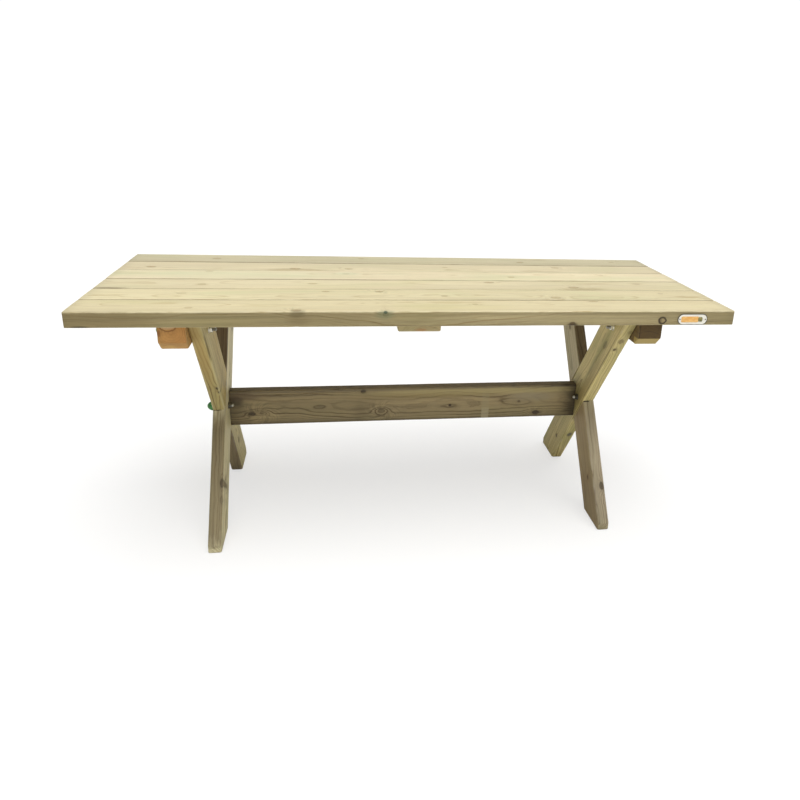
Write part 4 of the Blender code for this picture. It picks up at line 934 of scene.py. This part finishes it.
def enamel(name, base, other, rough=0.32):
    m, k, bsdf = new_material(name, (*base, 1.0))
    where = k.node("ShaderNodeTexCoord").outputs["Object"]
    cloud = k.noise(k.vec("MULTIPLY", where, (60.0, 60.0, 110.0)), 1.0, 3.0)
    scuff = k.step(k.noise(k.vec("MULTIPLY", where, (900.0, 900.0, 260.0)), 1.0, 3.0), 0.60, 0.74)
    colour = k.mix(k.step(cloud, 0.40, 0.68), (*base, 1.0), (*other, 1.0))
    colour = k.mix(k.mul(scuff, 0.22), colour, (0.60, 0.58, 0.50, 1.0))
    k.set(bsdf.inputs["Base Color"], colour)
    k.set(bsdf.inputs["Roughness"], k.add(k.madd(k.sub(cloud, 0.5), 0.16, rough), k.mul(scuff, 0.25)))
    relief = k.node("ShaderNodeBump")
    relief.inputs["Strength"].default_value = 0.2
    relief.inputs["Distance"].default_value = 0.00005
    k.set(relief.inputs["Height"], k.add(k.mul(scuff, -0.6), k.noise(where, 1500.0, 2.0)))
    k.set(bsdf.inputs["Normal"], relief.outputs[0])
    return m


ZINC = metal("zinc_steel_plated", (0.86, 0.86, 0.84), 0.30, 0.22)
# darker steel for the leg bolts: painted shade, standing in for the shadows round their nuts
ZINC_BOLT_SHADE = metal("zinc_steel_bolt_shade", (0.34, 0.33, 0.31), 0.42, 0.60)
GREEN = moulded("green_plastic_moulded", (0.030, 0.200, 0.038))
WHITE = enamel("plate_white_enamel", (0.86, 0.85, 0.80), (0.80, 0.78, 0.71))
OUTLINE = enamel("plate_dark_line", (0.050, 0.045, 0.035), (0.080, 0.070, 0.050), 0.40)
ORANGE = enamel("plate_orange_panel", (0.80, 0.41, 0.105), (0.90, 0.56, 0.20))
OLIVE = enamel("plate_olive_block", (0.15, 0.14, 0.045), (0.36, 0.31, 0.10))
PIN = metal("pin_steel_dark", (0.07, 0.065, 0.05), 0.50, 0.50)
# near-black steel for the crossing nuts: painted shade, as they sit in shadow beside the stretcher
ZINC_SHADE = metal("zinc_steel_nut_shade", (0.15, 0.145, 0.13), 0.46, 0.50)


def turned(name, rows, seg, origin, axis, material, sharp=35.0):
    """A closed solid of rings about an axis. rows: (height, radius or a function of the angles); a radius of 0 is a pole."""
    axis = np.array(axis, float)
    side = np.array((0.0, 0.0, 1.0)) if abs(axis[2]) < 0.9 else np.array((1.0, 0.0, 0.0))
    e1 = side - axis * side.dot(axis)
    e1 /= np.linalg.norm(e1)
    e2 = np.cross(axis, e1)
    theta = np.arange(seg) * 2 * math.pi / seg
    points, rings = [], []
    for h, r in rows:
        if not callable(r) and r == 0:
            rings.append([len(points)])
            points.append(np.array(origin) + axis * h)
            continue
        rr = r(theta) if callable(r) else np.full(seg, r)
        rings.append(list(range(len(points), len(points) + seg)))
        points += [np.array(origin) + axis * h + q * (e1 * math.cos(t) + e2 * math.sin(t)) for q, t in zip(rr, theta)]
    faces = []
    for low, high in zip(rings, rings[1:]):
        for i in range(seg):
            j = (i + 1) % seg
            if len(low) == 1:
                faces.append((low[0], high[i], high[j])[::-1])
            elif len(high) == 1:
                faces.append((low[i], low[j], high[0]))
            else:
                faces.append((low[i], low[j], high[j], high[i]))
    if len(rings[0]) > 1 and len(rings[-1]) > 1:  # a ring-shaped solid, such as a nut
        low, high = rings[-1], rings[0]
        faces += [(low[i], low[(i + 1) % seg], high[(i + 1) % seg], high[i]) for i in range(seg)]
    return make_object(name, points, faces, [material], sharp=sharp)


FLATS, BOLT_R, PITCH = 0.0165, 0.005, 0.0015


def hexagon(limit=1.0):
    """Radius of a hexagon across its flats, held to a circle so that its corners are chamfered."""
    def radius(theta):
        t = np.mod(theta, math.pi / 3) - math.pi / 6
        return np.minimum(FLATS / 2 / np.cos(t), limit)
    return radius


def thread(h):
    def radius(theta):
        t = np.mod(h / PITCH + theta / (2 * math.pi), 1.0)
        return BOLT_R - 0.00075 * np.abs(2 * t - 1.0)
    return radius


CORNER = FLATS / math.sqrt(3)


def bolt(node, label, steel=ZINC_BOLT_SHADE):
    """Head outside, thread towards the middle of the table."""
    low, high = box_of(node)
    out = 1.0 if (low[0] + high[0]) > 0 else -1.0
    y, z = (low[1] + high[1]) / 2, (low[2] + high[2]) / 2
    outer, inner = (high[0], low[0]) if out > 0 else (low[0], high[0])
    head = outer - out * 0.0064
    length = abs(head - inner)
    origin, axis = (head, y, z), (out, 0, 0)
    rows = [(0.0064, 0), (0.0064, 0.0062), (0.0062, 0.0066), (0.0062, hexagon(FLATS / 2 * 0.985)), (0.0052, hexagon(CORNER * 0.985)),
            (0.0046, hexagon(CORNER * 0.997)), (0.0008, hexagon(CORNER * 0.997)), (0.0003, hexagon(FLATS / 2 * 1.04)),
            (0.0, FLATS / 2 * 0.96), (0.0, BOLT_R + 0.0004), (-0.0006, BOLT_R)]
    start = length - 0.026
    rows += [(-start, BOLT_R), (-start - 0.0008, BOLT_R - 0.0005)]
    h = start + 0.001
    while h < length - 0.0012:
        rows.append((-h, thread(h)))
        h += PITCH / 7
    rows += [(-length + 0.0009, BOLT_R - 0.0009), (-length + 0.0002, BOLT_R - 0.0016), (-length, BOLT_R - 0.0019), (-length, 0)]
    put(turned(label, rows, 42, origin, axis, steel), "zinc_steel", node)


def nut(node, label, steel=ZINC):
    low, high = box_of(node)
    out = 1.0 if (low[0] + high[0]) > 0 else -1.0
    y, z = (low[1] + high[1]) / 2, (low[2] + high[2]) / 2
    face = high[0] if out > 0 else low[0]
    inside = BOLT_R + 0.00025
    rows = [(0.0, inside + 0.0006), (0.0, 0.0104), (0.00015, 0.01065), (0.0007, 0.0108), (0.0013, 0.01065), (0.0017, 0.0101),
            (0.0026, 0.00885), (0.0030, hexagon(CORNER * 0.995)), (0.0082, hexagon(CORNER * 0.997)), (0.0090, hexagon(CORNER * 0.965)),
            (0.0096, hexagon(FLATS / 2 * 1.02)), (0.0100, FLATS / 2 * 0.955), (0.0100, inside + 0.0008), (0.0094, inside)]
    h = 0.0090
    while h > 0.0010:
        rows.append((h, lambda t, h=h: inside - 0.00015 + 0.0004 * np.abs(2 * np.mod(h / PITCH - t / (2 * math.pi), 1.0) - 1.0)))
        h -= PITCH / 6
    put(turned(label, rows, 60, (face, y, z), (-out, 0, 0), steel), "zinc_steel", node)


def cap(node, label):
    """A domed plastic cap: a skirt with a rim, a seam and a dome, hollow at the back."""
    low, high = box_of(node)
    out = 1.0 if (low[0] + high[0]) > 0 else -1.0
    y, z = (low[1] + high[1]) / 2, (low[2] + high[2]) / 2
    face = low[0] if out > 0 else high[0]
    R, H = 0.0160, abs(high[0] - low[0])
    rows = [(H, 0)]
    for i in range(1, 17):
        t = i / 17 * math.pi / 2
        rows.append((0.0052 + (H - 0.0052) * math.cos(t), (R - 0.0007) * math.sin(t)))
    rows += [(0.0054, R - 0.0007), (0.0048, R - 0.0009), (0.0044, R - 0.0010), (0.0040, R - 0.0003), (0.0034, R), (0.0012, R),
             (0.0004, R - 0.0004), (0.0, R - 0.0010), (0.0, 0.0118), (0.0006, 0.0112), (0.0075, 0.0112), (0.0089, 0.0104),
             (0.0095, 0.0088), (0.0095, 0)]
    put(turned(label, rows, 56, (face, y, z), (out, 0, 0), GREEN, sharp=50), "green_plastic", node)


def screw(node, label, axis_index, sign):
    """A pan-head screw with a six-lobe recess; sign is the way its head faces."""
    low, high = box_of(node)
    mid = (low + high) / 2
    origin = mid.copy()
    origin[axis_index] = high[axis_index] if sign > 0 else low[axis_index]
    length = high[axis_index] - low[axis_index]
    axis = np.zeros(3)
    axis[axis_index] = sign
    origin -= axis * 0.003  # the head's underside

    def lobes(theta, r=0.00215):
        return r * (1 + 0.16 * np.cos(6 * theta))

    R = 0.0058
    rows = [(0.0010, 0), (0.0010, lambda t: lobes(t, 0.0019)), (0.0028, lobes), (0.0030, lambda t: lobes(t, 0.0024))]
    for i in range(1, 8):
        t = i / 7 * math.pi / 2
        rows.append((0.0007 + 0.0022 * math.cos(t) ** 0.8 if i < 7 else 0.0007, 0.0028 + (R - 0.0028) * math.sin(t)))
    rows += [(0.0003, R), (0.0, R - 0.0003), (0.0, 0.0030), (-0.0008, 0.0022), (-0.0020, 0.0021)]
    h = 0.003
    body = length - 0.003
    while h < body - 0.001:
        taper = min(1.0, (body - h) / 0.008)
        rows.append((-h, lambda t, h=h, taper=taper: taper * (0.00155 + 0.00095 * np.clip(
            1 - 2.6 * np.abs(np.mod(h / 0.0030 + t / (2 * math.pi), 1.0) - 0.5), 0, 1))))
        h += 0.0006
    rows.append((-body, 0))
    put(turned(label, rows, 24, origin, axis, ZINC), "zinc_steel", node)


for side in ("left", "right"):
    bolt(f"crossing_bolt_{side}", f"bolt_crossing_{side}", ZINC)
    nut(f"crossing_nut_{side}", f"nut_crossing_{side}", ZINC_SHADE)
    cap(f"crossing_cap_{side}", f"cap_crossing_{side}")
    for end in ("front", "back"):
        bolt(f"leg_bolt_{side}_{end}", f"bolt_leg_{side}_{end}")
        nut(f"leg_nut_{side}_{end}", f"nut_leg_{side}_{end}")
        cap(f"leg_bolt_cap_{side}_{end}", f"cap_leg_{side}_{end}")
    for n in range(1, 7):
        screw(f"bearer_screw_{side}_{n}", f"screw_bearer_{side}_{n}", 2, -1)
    for where in ("lower", "upper"):
        screw(f"stretcher_screw_{side}_{where}", f"screw_stretcher_{side}_{where}", 0, -1 if side == "left" else 1)
for n in range(1, 7):
    screw(f"batten_screw_{n}", f"screw_batten_{n}", 2, -1)


# ------------------------------------------------------------ the plate
def stadium(hx, hz, steps=12):
    """Outline of a bar with round ends, as (x, z) pairs."""
    r = min(hx, hz)
    out = []
    for cx, start in ((hx - r, -90), (-(hx - r), 90)):
        for i in range(steps + 1):
            t = math.radians(start + 180 * i / steps)
            out.append((cx + r * math.cos(t), r * math.sin(t)))
    return out


def bar(hx, hz, r, steps=6):
    """Outline of a bar with rounded corners."""
    out = []
    for cx, cz, start in ((hx - r, -hz + r, -90), (hx - r, hz - r, 0), (-hx + r, hz - r, 90), (-hx + r, -hz + r, 180)):
        for i in range(steps + 1):
            t = math.radians(start + 90 * i / steps)
            out.append((cx + r * math.cos(t), cz + r * math.sin(t)))
    return out


def plate_piece(name, loops, materials, slots, node=None, centre=(0, 0), back_y=0.0):
    """loops: (outline, depth in front of the back). slots: the material of the band after each loop."""
    points, rings = [], []
    for outline, depth in loops:
        rings.append(list(range(len(points), len(points) + len(outline))))
        points += [(centre[0] + x, back_y - depth, centre[1] + z) for x, z in outline]
    faces, kinds = [tuple(reversed(rings[0]))], [slots[0]]
    n = len(rings[0])
    for i, (low, high) in enumerate(zip(rings, rings[1:])):
        for j in range(n):
            q = (j + 1) % n
            faces.append((low[j], low[q], high[q], high[j]))
            kinds.append(slots[i])
    faces.append(tuple(rings[-1]))
    kinds.append(slots[-1])
    obj = make_object(name, points, [f[::-1] for f in faces], materials, kinds, sharp=50)
    return put(obj, "name_plate", *([node] if node else []))


low, high = box_of("name_plate")
px, pz = (low[0] + high[0]) / 2, (low[2] + high[2]) / 2
hx, hz, back, thick = (high[0] - low[0]) / 2, (high[2] - low[2]) / 2, high[1], high[1] - low[1]
plate_piece("plate", [(stadium(hx - 0.0003, hz - 0.0003), 0.0), (stadium(hx, hz), 0.0003), (stadium(hx, hz), thick - 0.0005),
                      (stadium(hx - 0.0002, hz - 0.0002), thick - 0.0001), (stadium(hx - 0.0007, hz - 0.0007), thick),
                      (stadium(hx - 0.0021, hz - 0.0021), thick), (stadium(hx - 0.0023, hz - 0.0023), thick - 0.00012),
                      (stadium(hx - 0.0040, hz - 0.0040), thick - 0.00012)],
            [OUTLINE, WHITE], [0, 0, 0, 0, 0, 1, 1, 1], "name_plate", (px, pz), back)
plate_piece("plate_panel", [(bar(0.0268, 0.0086, 0.0040), 0.0), (bar(0.0268, 0.0086, 0.0040), thick + 0.0001),
                            (bar(0.0264, 0.0082, 0.0037), thick + 0.0003), (bar(0.0255, 0.0073, 0.0030), thick + 0.00036)],
            [ORANGE], [0, 0, 0, 0], None, (px - 0.0085, pz), back)
plate_piece("plate_block", [(bar(0.0066, 0.0068, 0.0034), 0.0), (bar(0.0066, 0.0068, 0.0034), thick + 0.0003),
                            (bar(0.0063, 0.0065, 0.0032), thick + 0.0005), (bar(0.0057, 0.0059, 0.0028), thick + 0.00056)],
            [OLIVE], [0, 0, 0, 0], None, (px + 0.0235, pz), back)
for side in ("left", "right"):
    low, high = box_of(f"plate_pin_{side}")
    mid = (low + high) / 2
    rows = [(0.0012, 0), (0.00115, 0.0006), (0.0009, 0.0012), (0.0006, 0.0017), (0.0002, 0.0019), (0.0, 0.0018), (0.0, 0.0010),
            (-0.006, 0.0010), (-0.0075, 0)]
    face = high[1] - (high[1] - low[1]) + 0.0012
    put(turned(f"pin_{side}", rows, 24, (mid[0], face, mid[2]), (0, -1, 0), PIN, sharp=50), "zinc_steel", f"plate_pin_{side}")


# ============================================================ stage, light, camera
def stage_floor():
    steps = 64
    points = [(0.0, 0.0, 0.0)]
    rings = (1.5, 4.0, 12.0, 60.0)
    for r in rings:
        points += [(r * math.cos(2 * math.pi * i / steps), r * math.sin(2 * math.pi * i / steps), 0.0) for i in range(steps)]
    faces = [(0, 1 + i, 1 + (i + 1) % steps) for i in range(steps)]
    for q in range(len(rings) - 1):
        o = 1 + q * steps
        faces += [(o + i, o + steps + i, o + steps + (i + 1) % steps, o + (i + 1) % steps) for i in range(steps)]
    m = bpy.data.materials.new("pale_floor")
    m.use_nodes = True
    k = Net(m.node_tree)
    bsdf = m.node_tree.nodes["Principled BSDF"]
    out = m.node_tree.nodes["Material Output"]
    bsdf.inputs["Base Color"].default_value = (0.90, 0.90, 0.90, 1.0)
    bsdf.inputs["Roughness"].default_value = 0.9
    bsdf.inputs["Specular IOR Level"].default_value = 0.0
    # seen directly the floor is white paper; the light it sends back to the table is that of plain grey ground
    ground = k.node("ShaderNodeBsdfDiffuse")
    ground.inputs["Color"].default_value = (0.70, 0.68, 0.62, 1.0)
    ray = k.node("ShaderNodeLightPath").outputs["Is Camera Ray"]
    glow = k.node("ShaderNodeEmission")
    glow.inputs["Strength"].default_value = 1.0
    paper = k.node("ShaderNodeMixShader")
    k.set(paper.inputs[0], 0.62)
    k.set(paper.inputs[1], bsdf.outputs[0])
    k.set(paper.inputs[2], glow.outputs[0])
    mix = k.node("ShaderNodeMixShader")
    k.set(mix.inputs[0], ray)
    k.set(mix.inputs[1], ground.outputs[0])
    k.set(mix.inputs[2], paper.outputs[0])
    m.node_tree.links.new(mix.outputs[0], out.inputs["Surface"])
    obj = make_object("floor", points, faces, [m])


stage_floor()

WALLS, CEILING = 0.50, 0.35
scene = bpy.context.scene
world = bpy.data.worlds.new("studio")
world.use_nodes = True
scene.world = world
k = Net(world.node_tree)
back = world.node_tree.nodes["Background"]
back.inputs["Color"].default_value = (0.98, 0.985, 1.0, 1.0)
height = k.split(k.node("ShaderNodeTexCoord").outputs["Generated"])[2]
# pale walls all round, and a darker ceiling
k.set(back.inputs["Strength"], k.step(k.math("ABSOLUTE", height), 0.0, 0.60, WALLS, CEILING))
seen = k.node("ShaderNodeBackground")
seen.inputs["Color"].default_value = (1.0, 1.0, 1.0, 1.0)
seen.inputs["Strength"].default_value = 1.05
mix = k.node("ShaderNodeMixShader")
k.set(mix.inputs[0], k.node("ShaderNodeLightPath").outputs["Is Camera Ray"])
k.set(mix.inputs[1], back.outputs[0])
k.set(mix.inputs[2], seen.outputs[0])
world.node_tree.links.new(mix.outputs[0], world.node_tree.nodes["World Output"].inputs["Surface"])


def sun(name, toward, strength, angle, colour):
    """A soft, distant light; toward is the way its light travels."""
    data = bpy.data.lights.new(name, "SUN")
    data.energy = strength
    data.angle = math.radians(angle)
    data.color = colour
    obj = bpy.data.objects.new(name, data)
    obj.rotation_mode = "QUATERNION"
    obj.rotation_quaternion = Vector(toward).to_track_quat("-Z", "Y")
    scene.collection.objects.link(obj)


sun("overhead", (-0.10, 0.16, -1.0), 3.3, 60.0, (1.0, 0.995, 0.97))
sun("front_fill", (-0.25, 1.0, -0.18), 0.35, 70.0, (1.0, 0.98, 0.93))

# the camera of the reference view, in metres
yaw, pitch, roll = (math.radians(v) for v in (10.9985, -19.7903, 2.8847))
forward = Vector((math.sin(yaw) * math.cos(pitch), math.cos(yaw) * math.cos(pitch), math.sin(pitch)))
level = Vector((math.cos(yaw), -math.sin(yaw), 0.0))
up = level.cross(forward)
right = level * math.cos(roll) + up * math.sin(roll)
top = -level * math.sin(roll) + up * math.cos(roll)
lens = bpy.data.cameras.new("camera")
# the frame is square, so the height alone sets the angle; the narrower width keeps the whole table in the turned views
lens.sensor_fit = "VERTICAL"
lens.sensor_height = 36.0
lens.sensor_width = 30.0
lens.lens = 31.6152
lens.shift_x, lens.shift_y = -0.08221, -0.04389
lens.clip_start, lens.clip_end = 0.05, 300.0
camera = bpy.data.objects.new("camera", lens)
scene.collection.objects.link(camera)
camera.matrix_world = Matrix((
    (right.x, top.x, -forward.x, -0.2373),
    (right.y, top.y, -forward.y, -2.1628),
    (right.z, top.z, -forward.z, 1.2511),
    (0.0, 0.0, 0.0, 1.0)))
scene.camera = camera
scene.view_settings.view_transform = "Standard"
